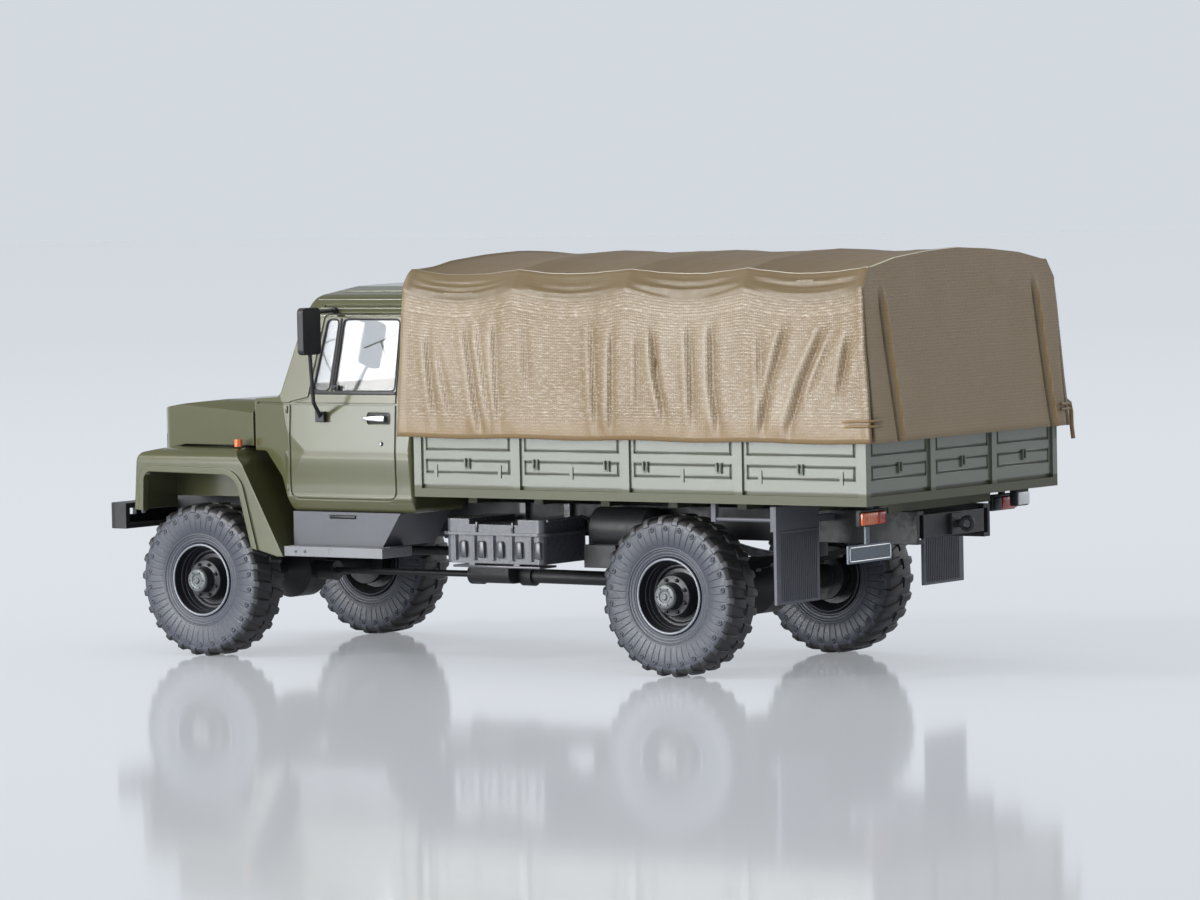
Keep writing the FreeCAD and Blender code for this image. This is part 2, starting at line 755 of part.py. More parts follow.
def seat(x0, x1):
    y1 = cab_rear_y - cab_wall - seat_wall_gap
    y0 = y1 - seat_depth - seat_back_depth
    low = cab_floor_top_z
    base_top = low + seat_base_height
    cushion_top = base_top + seat_cushion_height
    inset_x = seat_wall_gap
    base = box(x0 + inset_x, x1 - inset_x, y0 + seat_wall_gap, y1 - seat_back_lean, low, base_top)
    side = [(y0, base_top, seat_corner), (y1 - seat_back_lean, base_top, seat_corner),
            (y1, cushion_top + seat_back_height, seat_corner),
            (y1 - seat_back_depth, cushion_top + seat_back_height, seat_corner),
            (y1 - seat_back_lean - seat_back_depth, cushion_top, seat_corner), (y0, cushion_top, seat_corner)]
    return fused([base, prism_x(side, x0, x1)])


def seats():
    return together([seat(driver_seat_inner_x, driver_seat_outer_x), seat(bench_outer_x, bench_inner_x)])


dashboard_shares = ((0, 0.10), (0.55, 0.0, 1), (1.0, 0.25, 1), (0.95, 0.85, 1), (0.35, 1.0, 1), (0, 0.9))
dashboard_depth = 5.2
dashboard_height = 6.6
dashboard_top_gap = 0.7
dashboard_side_gap = 1.3
wheel_ring_radius = 4.2
wheel_ring_thickness = 0.38
wheel_tilt_degrees = 52
column_length = 4.2
column_radius = 0.55
spoke_width = 0.8
column_height_share = 0.55
dashboard_top_z = cab_bottom_z + cab_height * cab_side_shares[2][1] - cab_wall - dashboard_top_gap
dashboard_bottom_z = dashboard_top_z - dashboard_height


def dashboard():
    half = cab_half_width * cab_plan_shares[1][0] - cab_wall - dashboard_side_gap
    points = placed(dashboard_shares, firewall_y + cab_wall, dashboard_depth, dashboard_bottom_z,
                    dashboard_height, wheel_ring_thickness * 2)
    return prism_x(points, -half, half)


def steering_wheel():
    grip = ring(wheel_ring_radius, wheel_ring_thickness, vector(0, 0, 0), upward)
    hub = rod(vector(0, 0, -column_length), vector(0, 0, wheel_ring_thickness), column_radius)
    arm = Part.makeBox(wheel_ring_radius * 2, spoke_width, wheel_ring_thickness,
                       vector(-wheel_ring_radius, -spoke_width / 2, -wheel_ring_thickness / 2))
    wheel = fused([grip, hub, arm])
    wheel.rotate(vector(0, 0, 0), across, -wheel_tilt_degrees)
    x = (driver_seat_inner_x + driver_seat_outer_x) / 2
    base = vector(x, firewall_y + cab_wall + dashboard_depth + column_radius,
                  dashboard_bottom_z + dashboard_height * column_height_share)
    tilt = math.radians(wheel_tilt_degrees)
    away = vector(0, math.sin(tilt), math.cos(tilt))
    wheel.translate(base + away * (column_length + seat_gap))
    return wheel


# Front wings: outer skin with the wheel arch and its lip, rolled top skin and inner wheel housing
wing_flare = 2.15
wing_inner_gap = 2.1
wing_outer_x = cab_half_width + wing_flare
wing_wall = 0.8
wing_corner = 2.4
wing_roll = 2.3
wing_crown_drop = 0.4
wing_front_setback = -11.6
wing_length = 29.2
wing_bottom_z = 16.0
wing_height = 16.5
wing_housing_z = 24.3
wing_shares = ((0.0, 0.40), (0.022, 0.935, 0.5), (0.20, 0.995, 2.0), (0.654, 1.0, 1.2), (0.735, 0.85, 1.2),
               (1.0, 0.0))
arch_shares = ((0.045, 0.40), (0.075, 0.765, 0.6), (0.695, 0.745, 1.4), (0.959, 0.0))
lip_width = 1.0
lip_relief = 0.35
wing_inner_x = half_track - tyre_half_width - wing_inner_gap
wing_top_z = wing_bottom_z + wing_height


def wing_outlines():
    y0 = front_axle_y + wing_front_setback
    top = placed(wing_shares, y0, wing_length, wing_bottom_z, wing_height, wing_corner)
    arch = placed(arch_shares, y0, wing_length, wing_bottom_z, wing_height, wing_corner)
    return top, arch


def reached_down(points, depth):
    # Runs both ends of an open outline further down, so that it closes well below the piece.
    first, second, before_last, last = points[0], points[1], points[-2], points[-1]

    def lower(end, inner):
        share = depth / (inner[1] - end[1])
        return (end[0] + (end[0] - inner[0]) * share, end[1] - depth, 0)
    return [lower(first, second)] + list(points[1:-1]) + [lower(last, before_last)]


def wing_section(wall):
    # Front view of the wing: flat crest inside, rolled edge outside, straight down below.
    low = wing_bottom_z - wing_height
    section = [(wing_inner_x, low, 0), (wing_outer_x, low, 0), (wing_outer_x, wing_top_z - wing_crown_drop, wing_roll),
               (wing_inner_x, wing_top_z, 0)]
    y0 = front_axle_y + wing_front_setback
    return prism_y(inset(section, wall), y0 - overrun, y0 + wing_length + overrun)


def wing():
    top, arch = wing_outlines()
    depth = wing_height
    whole = prism_x(top + [arch[-1], arch[0]], wing_inner_x, wing_outer_x + lip_relief)
    solid = whole.common(wing_section(0))
    cavity = prism_x(inset(reached_down(top, depth), wing_wall), wing_inner_x, wing_outer_x)
    cavity = cavity.common(wing_section(wing_wall))
    open_arch = [(p[0], p[1] - (depth if p is arch[0] or p is arch[-1] else 0), p[2]) for p in arch]
    arch_cut = prism_x(open_arch, wing_inner_x - overrun, wing_outer_x + overrun)
    y0, y1 = top[0][0], top[-1][0]
    outer_zone = box(wing_outer_x - wing_wall - overrun, wing_outer_x + overrun, y0 - overrun, y1 + overrun,
                     wing_bottom_z - overrun, wing_top_z)
    inner_low = box(wing_inner_x - overrun, wing_inner_x + wing_wall, y0 - overrun, y1 + overrun,
                    wing_bottom_z - overrun, wing_housing_z)
    body = solid.cut(cavity).cut(arch_cut.common(outer_zone)).cut(inner_low)
    lip = prism_x(inset(open_arch, -lip_width), wing_outer_x - wing_wall / 2, wing_outer_x + lip_relief)
    lip = lip.common(whole).cut(arch_cut)
    return fused([body, lip])


# Bonnet: a lid with deep sides, rolled front and open underside, on the wings' tops
bonnet_front_setback = -11.6
bonnet_front_drop = 1.05
bonnet_corner = 2.2
bonnet_wall = 0.8
bonnet_rear_gap = 0.18
bonnet_seat_gap = 0.1
bonnet_top_shares = ((1.0, 1.0), (0.66, 0.971, 2.0), (0.29, 0.888, 2.0), (0.02, 0.79, 0.25))
bonnet_front_width_share = 0.843
bonnet_crown = 1.0
grille_opening_margin = 1.9
grille_opening_height = 3.1
bonnet_front_half_width = cab_half_width * bonnet_front_width_share
bonnet_front_y = front_axle_y + bonnet_front_setback
bonnet_rear_y = cab_front_y - bonnet_rear_gap
bonnet_low_z = wing_top_z - bonnet_front_drop
bonnet_top_z = cab_bottom_z + cab_height * cab_side_shares[1][1]


def bonnet_side():
    crest_y = wing_outlines()[0][2][0]
    seat_z = wing_top_z + bonnet_seat_gap
    edge = [(bonnet_front_y, bonnet_low_z, 0), (crest_y, seat_z, 0), (bonnet_rear_y, seat_z, 0)]
    return edge + placed(bonnet_top_shares, bonnet_front_y, bonnet_rear_y - bonnet_front_y, bonnet_low_z,
                         bonnet_top_z - bonnet_low_z, bonnet_corner)


def bonnet_form(wall):
    rear_half = cab_half_width * cab_plan_shares[0][0]
    front_half, y0, y1 = bonnet_front_half_width, bonnet_front_y, bonnet_rear_y
    plan = [(front_half - bonnet_corner, y0, bonnet_corner), (front_half, y0 + bonnet_corner, bonnet_corner),
            (rear_half, y1, 0), (-rear_half, y1, 0), (-front_half, y0 + bonnet_corner, bonnet_corner),
            (-front_half + bonnet_corner, y0, bonnet_corner)]
    half, top = cab_half_width, bonnet_top_z
    section = both_sides([(half, bonnet_low_z - overrun, 0), (rear_half, top - bonnet_corner, bonnet_corner),
                          (rear_half - bonnet_corner, top - bonnet_crown / 4, bonnet_corner),
                          (0, top + bonnet_crown / 4, 0)])
    side_solid = prism_x(inset(bonnet_side(), wall), -half - overrun, half + overrun)
    plan_solid = prism_z(inset(plan, wall), bonnet_low_z - overrun, top + bonnet_crown + overrun)
    section_solid = prism_y(inset(section, wall), y0 - overrun, y1 + overrun)
    return side_solid.common(plan_solid).common(section_solid)


def bonnet():
    y0, y1 = bonnet_front_y, bonnet_rear_y
    half = bonnet_front_half_width - bonnet_wall
    low = bonnet_low_z - overrun
    mouth = box(-half, half, y0 + bonnet_wall, y1 - bonnet_wall, low, wing_top_z + bonnet_wall * 2)
    rear_mouth = box(-half, half, y1 - bonnet_wall * 2, y1 + overrun, low, bonnet_top_z - bonnet_corner)
    opening_half = bonnet_front_half_width - grille_opening_margin
    front_mouth = box(-opening_half, opening_half, y0 - overrun, y0 + bonnet_wall * 3, low,
                      bonnet_low_z + grille_opening_height)
    return bonnet_form(0).cut(bonnet_form(bonnet_wall)).cut(mouth).cut(rear_mouth).cut(front_mouth)


# Front panel between the wings: slotted grille, two round lamps
grille_setback = -11.9
grille_thickness = 1.1
grille_side_gap = 0.2
grille_bottom_z = 24.2
grille_top_gap = 0.15
slot_count = 6
slot_height = 0.8
slot_depth = 0.6
lamp_margin = 0.3
lamp_z = 29.6
lamp_radius = 2.2
lamp_depth = 0.7
lamp_bezel = 0.45
grille_half_width = wing_inner_x - grille_side_gap
grille_top_z = bonnet_low_z + grille_opening_height - grille_top_gap
lamp_x = grille_half_width - lamp_radius - lamp_margin


def grille_panel():
    y0 = front_axle_y + grille_setback
    panel = box(-grille_half_width, grille_half_width, y0, y0 + grille_thickness, grille_bottom_z, grille_top_z)
    slot_half = lamp_x - lamp_radius - lamp_bezel * 3
    slots = [box(-slot_half, slot_half, y0 - overrun, y0 + slot_depth, z - slot_height / 2, z + slot_height / 2)
             for z in stations(grille_bottom_z + slot_height * 1.6, grille_top_z - slot_height * 1.6, slot_count)]
    cups = [rod(vector(x, y0 - overrun, lamp_z), vector(x, y0 + lamp_depth, lamp_z), lamp_radius)
            for x in (-lamp_x, lamp_x)]
    return panel.cut(fused(slots)).cut(fused(cups))


def headlamp():
    y0 = front_axle_y + grille_setback
    outline = [(0, 0), (0, lamp_radius - seat_gap), (lamp_depth - seat_gap, lamp_radius - seat_gap),
               (lamp_depth + lamp_bezel, lamp_radius * 0.7), (lamp_depth + lamp_bezel * 1.4, 0)]
    return turned(outline, vector(lamp_x, y0 + lamp_depth, lamp_z), along * -1)


# Small marker lamps on the wings, door handles in their recesses
marker_setback = 7.0
marker_inset = 2.9
marker_radius = 0.65
marker_height = 1.1
handle_margin = 0.15
handle_relief = 0.4
handle_grip_share = 0.6


def marker_lamp():
    x = wing_outer_x - marker_inset
    y = front_axle_y + marker_setback
    return rod(vector(x, y, wing_top_z), vector(x, y, wing_top_z + marker_height), marker_radius)


def door_handle():
    # A dished plate on the recess floor with the pull standing out of it.
    floor_x = cab_half_width - recess_depth - line_depth
    plate = prism_x(handle_span(handle_margin), floor_x, floor_x + line_depth)
    y0, y1 = handle_span(handle_margin)[0][0], handle_span(handle_margin)[1][0]
    z0, z1 = handle_span(handle_margin)[0][1], handle_span(handle_margin)[2][1]
    length = (y1 - y0) * handle_grip_share
    middle = (z0 + z1) / 2
    half = (z1 - z0) * handle_grip_share / 2
    top_x = cab_half_width + handle_relief
    pull = prism_z([(floor_x, y0, 0), (top_x, y0, 0), (top_x, y0 + length, 0), (floor_x, y0 + length + half, 0)],
                   middle - half, middle + half)
    return fused([plate, pull])


# Mirrors on bent arms from the doors
mirror_setback = 26.3
mirror_inner_x = 27.0
mirror_outer_x = 31.3
mirror_height_shares = (0.6986, 0.9043)
mirror_thickness = 1.1
mirror_corner = 0.8
arm_radius = 0.3
arm_foot_setback = 24.0
arm_foot_z = 37.3
arm_foot_length = 1.6
arm_bend_z = 39.6
bracket_share = 0.885
knob_radius = 0.55
knob_length = 0.8


def cab_half_at(height_share):
    # Half the cab's outer width at a share of its height.
    for low, high in zip(cab_front_shares[1:], cab_front_shares[2:]):
        if low[1] <= height_share <= high[1]:
            across_share = (height_share - low[1]) / (high[1] - low[1])
            return cab_half_width * (low[0] + (high[0] - low[0]) * across_share)


def mirror():
    y = front_axle_y + mirror_setback
    low, high = (cab_bottom_z + cab_height * share for share in mirror_height_shares)
    head = prism_y(rectangle(mirror_inner_x, mirror_outer_x, low, high, mirror_corner),
                   y - mirror_thickness / 2, y + mirror_thickness / 2)
    foot_y = front_axle_y + arm_foot_setback
    x0 = cab_half_width
    foot = box(x0, x0 + arm_radius * 2, foot_y - arm_foot_length / 2, foot_y + arm_foot_length / 2,
               arm_foot_z - arm_foot_length / 2, arm_foot_z + arm_foot_length / 2)
    middle = (mirror_inner_x + mirror_outer_x) / 2
    points = [vector(x0 + arm_radius, foot_y, arm_foot_z),
              vector(mirror_inner_x, (foot_y + y) / 2, arm_bend_z),
              vector(middle, y, low + mirror_corner)]
    parts = [head, foot]
    for start, end in zip(points, points[1:]):
        parts.append(rod(start, end, arm_radius))
    parts.append(Part.makeSphere(arm_radius, points[1]))
    z = cab_bottom_z + cab_height * bracket_share
    root = vector(cab_half_at(bracket_share) + knob_radius + seat_gap, y - mirror_thickness, z)
    parts.append(rod(root, root + across * knob_length, knob_radius))
    parts.append(rod(root + across * knob_length / 2, vector(mirror_inner_x + mirror_corner, y, z), arm_radius))
    return fused(parts)


# Bed floor on cross bearers, boards with posts on all four sides
bearer_count = 7
bearer_width = 1.6
bearer_inset = 12.35
bearer_rear_setback = 5.0
post_width = 1.35
side_post_shares = (0.0, 0.231, 0.481, 0.732, 1.0)
tail_post_x = 8.45
kick_height = 0.6
kick_setback = 0.3
frame_shares = ((0.21, 0.39), (0.52, 0.90))
frame_margin = 0.7
frame_line = 0.25
frame_depth = 0.15
hook_width = 1.0
hook_height = 1.6
hook_bar = 0.28
hook_relief = 0.3
strap_height = 1.9
near_share = 0.15


def bed_floor():
    y0, y1 = bed_front_y, bed_rear_y
    floor = box(-bed_half_width, bed_half_width, y0, y1, floor_bottom_z, floor_top_z)
    half = bed_half_width - bearer_inset
    bearers = [box(-half, half, y - bearer_width / 2, y + bearer_width / 2, rail_top_z, floor_bottom_z)
               for y in stations(y0 + bearer_width, y1 - bearer_rear_setback, bearer_count)]
    return fused([floor] + bearers)


def board_blank(a0, a1, thickness):
    # A board lying in a plane of its own: (along, up, outward), with the kick step at its foot.
    outline = [(0, 0, 0), (thickness - kick_setback, 0, 0), (thickness - kick_setback, kick_height, 0),
               (thickness, kick_height, 0), (thickness, board_height, 0), (0, board_height, 0)]
    face = Part.Face(wire(outline, lambda out, up: vector(a0, up, out)))
    return face.extrude(vector(a1 - a0, 0, 0))


def frame_lines(a0, a1, thickness):
    # Two pressed rectangles in one bay of a board.
    lines = []
    for low, high in frame_shares:
        outer = box(a0, a1, board_height * low, board_height * high, thickness - frame_depth, thickness + overrun)
        inner = box(a0 + frame_line, a1 - frame_line, board_height * low + frame_line,
                    board_height * high - frame_line, thickness - overrun, thickness + overrun)
        lines.append(outer.cut(inner))
    return lines


def rope_hook(middle, thickness):
    top = board_height * frame_shares[0][1] + hook_bar
    half = hook_width / 2
    loop = box(middle - half, middle + half, top - hook_height, top, thickness, thickness + hook_relief)
    gap = box(middle - half + hook_bar, middle + half - hook_bar, top - hook_height + hook_bar, top + overrun,
              thickness - overrun, thickness + hook_relief + overrun)
    return loop.cut(gap)


def board_strap(middle, thickness):
    low = board_height * frame_shares[0][0] - strap_height / 3
    return box(middle - hook_bar, middle + hook_bar, low, low + strap_height, thickness, thickness + frame_depth)


def board(length, post_starts, hooked, strapped):
    # One board with its posts, lines, rope hooks and short straps; lies flat, foot along the first axis.
    thickness = board_thickness
    panel = board_blank(0, length, thickness)
    posts = [box(start, start + post_width, 0, board_height, thickness - kick_setback, thickness + post_relief)
             for start in post_starts]
    edges = list(zip([start + post_width for start in post_starts], post_starts[1:]))
    lines, fittings = [], []
    for bay, (a0, a1) in enumerate(edges):
        lines += frame_lines(a0 + frame_margin, a1 - frame_margin, thickness)
        fittings += [rope_hook(a0 + (a1 - a0) * share, thickness) for share in hooked[bay]]
        fittings += [board_strap(a0 + (a1 - a0) * share, thickness) for share in strapped[bay]]
    return fused([panel.cut(together(lines))] + posts + fittings)


def stood(shape, origin, along_axis, outward):
    # Stands a board up at its place: first axis along the bed's edge, third axis outward.
    matrix = FreeCAD.Matrix(along_axis.x, 0, outward.x, origin.x, along_axis.y, 0, outward.y, origin.y,
                            along_axis.z, 1, outward.z, origin.z, 0, 0, 0, 1)
    upright = shape.copy()
    upright.Placement = FreeCAD.Placement(matrix).multiply(shape.Placement)
    return upright


def bed_side():
    length = bed_rear_y - bed_front_y
    starts = [share * (length - post_width) for share in side_post_shares]
    ends, middle = (near_share, 1 - near_share), (middle_share,)
    flat = board(length, starts, (middle, ends, ends, middle), (ends, middle, middle, ends))
    return stood(flat, vector(board_face_x - board_thickness, bed_front_y, floor_top_z), along, across)


def tail_board():
    half = board_face_x - board_thickness - seat_gap
    starts = [-post_width, half - tail_post_x - post_width / 2, half + tail_post_x - post_width / 2, half * 2]
    bays = len(starts) - 1
    flat = board(half * 2, starts, ((middle_share,),) * bays, ((),) * bays)
    flat = flat.common(box(0, half * 2, -overrun, board_height + overrun, -overrun, board_thickness + overrun))
    return stood(flat, vector(half, bed_rear_y - post_relief - board_thickness, floor_top_z), across * -1, along)


def headboard():
    half = board_face_x - board_thickness - seat_gap
    return box(-half, half, bed_front_y, bed_front_y + board_thickness, floor_top_z, floor_top_z + board_height)


# Canvas cover over five bows: ridge, eaves and walls sag between the bows
cover_bays = 4
steps_per_bay = 4
cover_bow_shares = ((1.0, 0.0), (0.985, 0.35), (0.968, 0.70), (0.958, 0.80), (0.89, 0.914), (0.62, 0.962),
                    (0.30, 0.988), (0.0, 1.0))
cover_sag_shares = ((1.0, 0.0), (0.980, 0.35), (0.958, 0.66), (0.948, 0.748), (0.88, 0.862), (0.60, 0.930),
                    (0.30, 0.970), (0.0, 0.985))


def cover_section(share, wall, drop):
    points = []
    for bow, sag in zip(cover_bow_shares, cover_sag_shares):
        a = bow[0] + (sag[0] - bow[0]) * share
        b = bow[1] + (sag[1] - bow[1]) * share
        points.append((a * cover_half_width, cover_hem_z + b * cover_height, 0))
    points = inset(both_sides(points), wall)
    return [(p[0], p[1] - (drop if p[1] < cover_hem_z + wall * 2 else 0), 0) for p in points]


def cover_side(wall, drop):
    # Side view of the cover between its leaning end walls.
    low, high = cover_hem_z, cover_hem_z + cover_height + overrun
    lean_height = cover_height + overrun
    outline = [(cover_front_y, low, 0), (tail_y, low, 0), (tail_y - cover_rear_lean / cover_height * lean_height, high, 0),
               (cover_front_y + cover_front_lean / cover_height * lean_height, high, 0)]
    outline = [(p[0], p[1] - (drop if p[1] < cover_hem_z + wall * 2 else 0), 0) for p in inset(outline, wall)]
    return prism_x(outline, -cover_half_width - overrun, cover_half_width + overrun)


def cover_form(wall, drop):
    wires = []
    y0, y1 = cover_front_y - overrun, tail_y + overrun
    for step in range(cover_bays * steps_per_bay + 1):
        share = step / (cover_bays * steps_per_bay)
        y = y0 + (y1 - y0) * share
        slack = math.sin(math.pi * step / steps_per_bay) ** 2
        wires.append(wire(cover_section(slack, wall, drop), lambda x, z: vector(x, y, z)))
    return Part.makeLoft(wires, True, True).common(cover_side(wall, drop))


def tarp_cover():
    return cover_form(0, 0).cut(cover_form(cover_wall, overrun))


# Tail lamps and blank number plate on brackets under the bed's tail
tail_lamp_inner_x = 14.8
tail_lamp_outer_x = 21.4
tail_lamp_bottom_z = 22.4
tail_lamp_top_z = 24.9
tail_lamp_depth = 1.3
tail_lamp_setback = 119.6
plate_inner_x = 13.8
plate_outer_x = 25.2
plate_bottom_z = 17.4
plate_height = 2.6
plate_thickness = 0.35
bracket_width = 1.0


def tail_lamp():
    y1 = front_axle_y + tail_lamp_setback
    lamp = prism_y(rectangle(tail_lamp_inner_x, tail_lamp_outer_x, tail_lamp_bottom_z, tail_lamp_top_z,
                             plate_thickness), y1 - tail_lamp_depth, y1)
    x = (tail_lamp_inner_x + tail_lamp_outer_x) / 2
    stem = box(x - bracket_width / 2, x + bracket_width / 2, y1 - tail_lamp_depth, y1 - plate_thickness,
               tail_lamp_top_z, floor_bottom_z)
    return fused([lamp, stem])


def number_plate():
    y1 = front_axle_y + tail_lamp_setback
    plate = box(plate_inner_x, plate_outer_x, y1 - plate_thickness, y1, plate_bottom_z,
                plate_bottom_z + plate_height)
    x = (plate_inner_x + plate_outer_x) / 2
    back = y1 - plate_thickness
    hanger = box(x - bracket_width / 2, x + bracket_width / 2, back - plate_thickness, back,
                 plate_bottom_z, tail_lamp_bottom_z)
    return fused([plate, hanger])


# Tow hook on the rear cross-member
hook_bar_radius = 0.6
hook_plate_half = 1.5
hook_eye_radius = 0.9
hook_eye_thickness = 0.36
hook_stem_length = 1.4


def tow_hook():
    bottom, top = crossmember_span()
    z = (bottom + top) / 2
    start = vector(0, rail_rear_y, z)
    plate = box(-hook_plate_half, hook_plate_half, rail_rear_y, rail_rear_y + hook_bar_radius,
                z - hook_plate_half, z + hook_plate_half)
    stem = rod(start, start + along * hook_stem_length, hook_bar_radius)
    eye = ring(hook_eye_radius, hook_eye_thickness, start + along * (hook_stem_length + hook_eye_radius), across)
    return fused([plate, stem, eye])


# Wheels: lugged tyre on a deep dished rim, whose hub runs on the axle's stub pin
lug_count = 24
lug_width_share = 0.58
tread_radius = 10.75
bead_radius = 6.0
rim_flange_radius = 6.45
rim_flange_thickness = 0.3
rim_well_radius = 5.2
disc_offset = 0.4
disc_thickness = 0.8
hub_radius = 3.25
hub_reach = 1.8
cap_radius = 1.6
pin_clearance = 0.05
hand_hole_count = 8
hand_hole_radius = 0.55
tyre_shares = ((0.74, 0.0), (1.0, 0.60), (0.90, 0.95))
lug_shares = ((0.06, 0.85), (0.06, 1.232), (0.74, 1.232), (0.97, 1.10), (0.985, 0.60), (0.80, 0.70))


def tyre_points(shares):
    rise = tread_radius - bead_radius
    return [(a * tyre_half_width, bead_radius + b * rise) for a, b in shares]


def sidewall_x(radius):
    # Where the carcass's side lies at a radius near the bead.
    (a0, r0), (a1, r1) = tyre_points(tyre_shares)[:2]
    return a0 + (a1 - a0) * (radius - r0) / (r1 - r0)


def carcass():
    # A many-sided ring with one flat to each lug.
    half = tyre_points(tyre_shares)
    outline = half + [(-a, r) for a, r in reversed(half)]

    def corner(index, step):
        a, r = outline[index % len(outline)]
        angle = 2 * math.pi * (step + middle_share) / lug_count
        return vector(a, r * math.sin(angle), r * math.cos(angle))
    faces = []
    for step in range(lug_count):
        for index in range(len(outline)):
            points = [corner(index, step), corner(index + 1, step), corner(index + 1, step + 1),
                      corner(index, step + 1)]
            faces.append(Part.Face(Part.makePolygon(points + points[:1])))
    shell = Part.makeShell(faces)
    shell.sewShape()
    solid = Part.makeSolid(shell)
    if solid.Volume < 0:
        solid.reverse()
    return solid


def tyre():
    centre = vector(0, 0, 0)
    width = 2 * math.pi * tyre_radius / lug_count * lug_width_share
    block = tyre_points(lug_shares)
    lift = math.sqrt(tyre_radius ** 2 - width ** 2 / 4) / block[1][1]
    block = [(a, r * lift) if r > tread_radius else (a, r) for a, r in block]
    lugs = []
    for side in (-1, 1):
        points = [(side * a, r) for a, r in block]
        face = Part.Face(wire([(a, r, 0) for a, r in points], lambda a, r: vector(a, -width / 2, r)))
        lug = face.extrude(vector(0, width, 0))
        for i in range(lug_count):
            turn = 360 * (i + (side + 1) / 4) / lug_count + 180
            lugs.append(lug.rotated(centre, across, turn))
    return carcass().multiFuse(lugs)


def rim():
    # Outline of a half section, from the pin's bore outward; the dish opens towards +X.
    bore = pin_radius + pin_clearance
    inner = -wheel_inner_face
    disc = -disc_offset
    front = sidewall_x(rim_flange_radius) + seat_gap
    seat = bead_radius * math.cos(math.pi / lug_count) - seat_gap
    outline = [(inner, bore), (inner, hub_radius), (disc - disc_thickness, hub_radius),
               (disc - disc_thickness, rim_well_radius - disc_thickness),
               (-front - rim_flange_thickness, rim_well_radius),
               (-front - rim_flange_thickness, rim_flange_radius), (-front, rim_flange_radius),
               (-front, seat), (front, seat), (front, rim_flange_radius),
               (front + rim_flange_thickness, rim_flange_radius),
               (front + rim_flange_thickness, bead_radius - rim_flange_thickness),
               (disc + disc_thickness, rim_well_radius - rim_flange_thickness),
               (disc, rim_well_radius - disc_thickness - rim_flange_thickness),
               (disc, hub_radius), (hub_reach, hub_radius * 0.9),
               (hub_reach, cap_radius), (hub_cap_reach, cap_radius * 0.85), (hub_cap_reach, 0),
               (hub_cap_reach - hub_cap_wall, 0), (hub_cap_reach - hub_cap_wall, bore)]
    wheel = turned(outline, vector(0, 0, 0), across)
    return wheel


# Export: every named piece, then the four wheels
def wheel_places():
    return {"front_left": (1, front_axle_y), "front_right": (-1, front_axle_y),
            "rear_left": (1, rear_axle_y), "rear_right": (-1, rear_axle_y)}


def pieces():
    outer = cab_form(0)
    found = {
        "front_bumper": front_bumper(),
        "frame_rail_left": frame_rail(),
        "frame_rail_right": mirrored(frame_rail()),
        "frame_crossmembers": frame_crossmembers(),
        "screw_post_front": screw_post(screw_post_shares[0]),
        "screw_post_rear": screw_post(screw_post_shares[1]),
        "front_axle": axle(front_axle_y, 1),
        "rear_axle": axle(rear_axle_y, -1),
        "front_springs": springs(front_axle_y, front_spring_half_length),
        "rear_springs": springs(rear_axle_y, rear_spring_half_length),
        "engine_gearbox": engine_gearbox(),
        "transfer_case": transfer_case(),
        "propshafts": propshafts(),
        "exhaust": exhaust(),
        "fuel_tank_left": fuel_tank(),
        "fuel_tank_right": mirrored(fuel_tank()),
        "air_reservoir": air_reservoir(),
        "step_left": step(),
        "step_right": mirrored(step()),
        "step_box_left": step_box(),
        "step_box_right": mirrored(step_box()),
        "mudflap_left": mudflap(),
        "mudflap_right": mirrored(mudflap()),
        "cab_shell": cab_shell(outer),
        "cab_floor": cab_floor(),
        "seats": seats(),
        "dashboard": dashboard(),
        "steering_wheel": steering_wheel(),
        "bonnet": bonnet(),
        "wing_left": wing(),
        "wing_right": mirrored(wing()),
        "grille_panel": grille_panel(),
        "headlamps": pair(headlamp()),
        "marker_lamps": pair(marker_lamp()),
        "door_handles": pair(door_handle()),
        "mirror_left": mirror(),
        "mirror_right": mirrored(mirror()),
        "bed_floor": bed_floor(),
        "bed_side_left": bed_side(),
        "bed_side_right": mirrored(bed_side()),
        "headboard": headboard(),
        "tailgate": tail_board(),
        "tarp_cover": tarp_cover(),
        "tail_lamps": pair(tail_lamp()),
        "number_plate": number_plate(),
        "tow_hook": tow_hook(),
    }
    found.update(glazing())
    tyre_shape, rim_shape = tyre(), rim()
    for corner, (side, y) in wheel_places().items():
        for name, shape in (("tyre_", tyre_shape), ("rim_", rim_shape)):
            copy = shape if side > 0 else mirrored(shape)
            found[name + corner] = copy.translated(vector(side * half_track, y, axle_z))
    return found


for name, shape in pieces().items():
    shape.exportStep("parts/" + name + ".step")
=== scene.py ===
import json
import math
import bpy
import bmesh
from mathutils import Matrix, Vector, noise


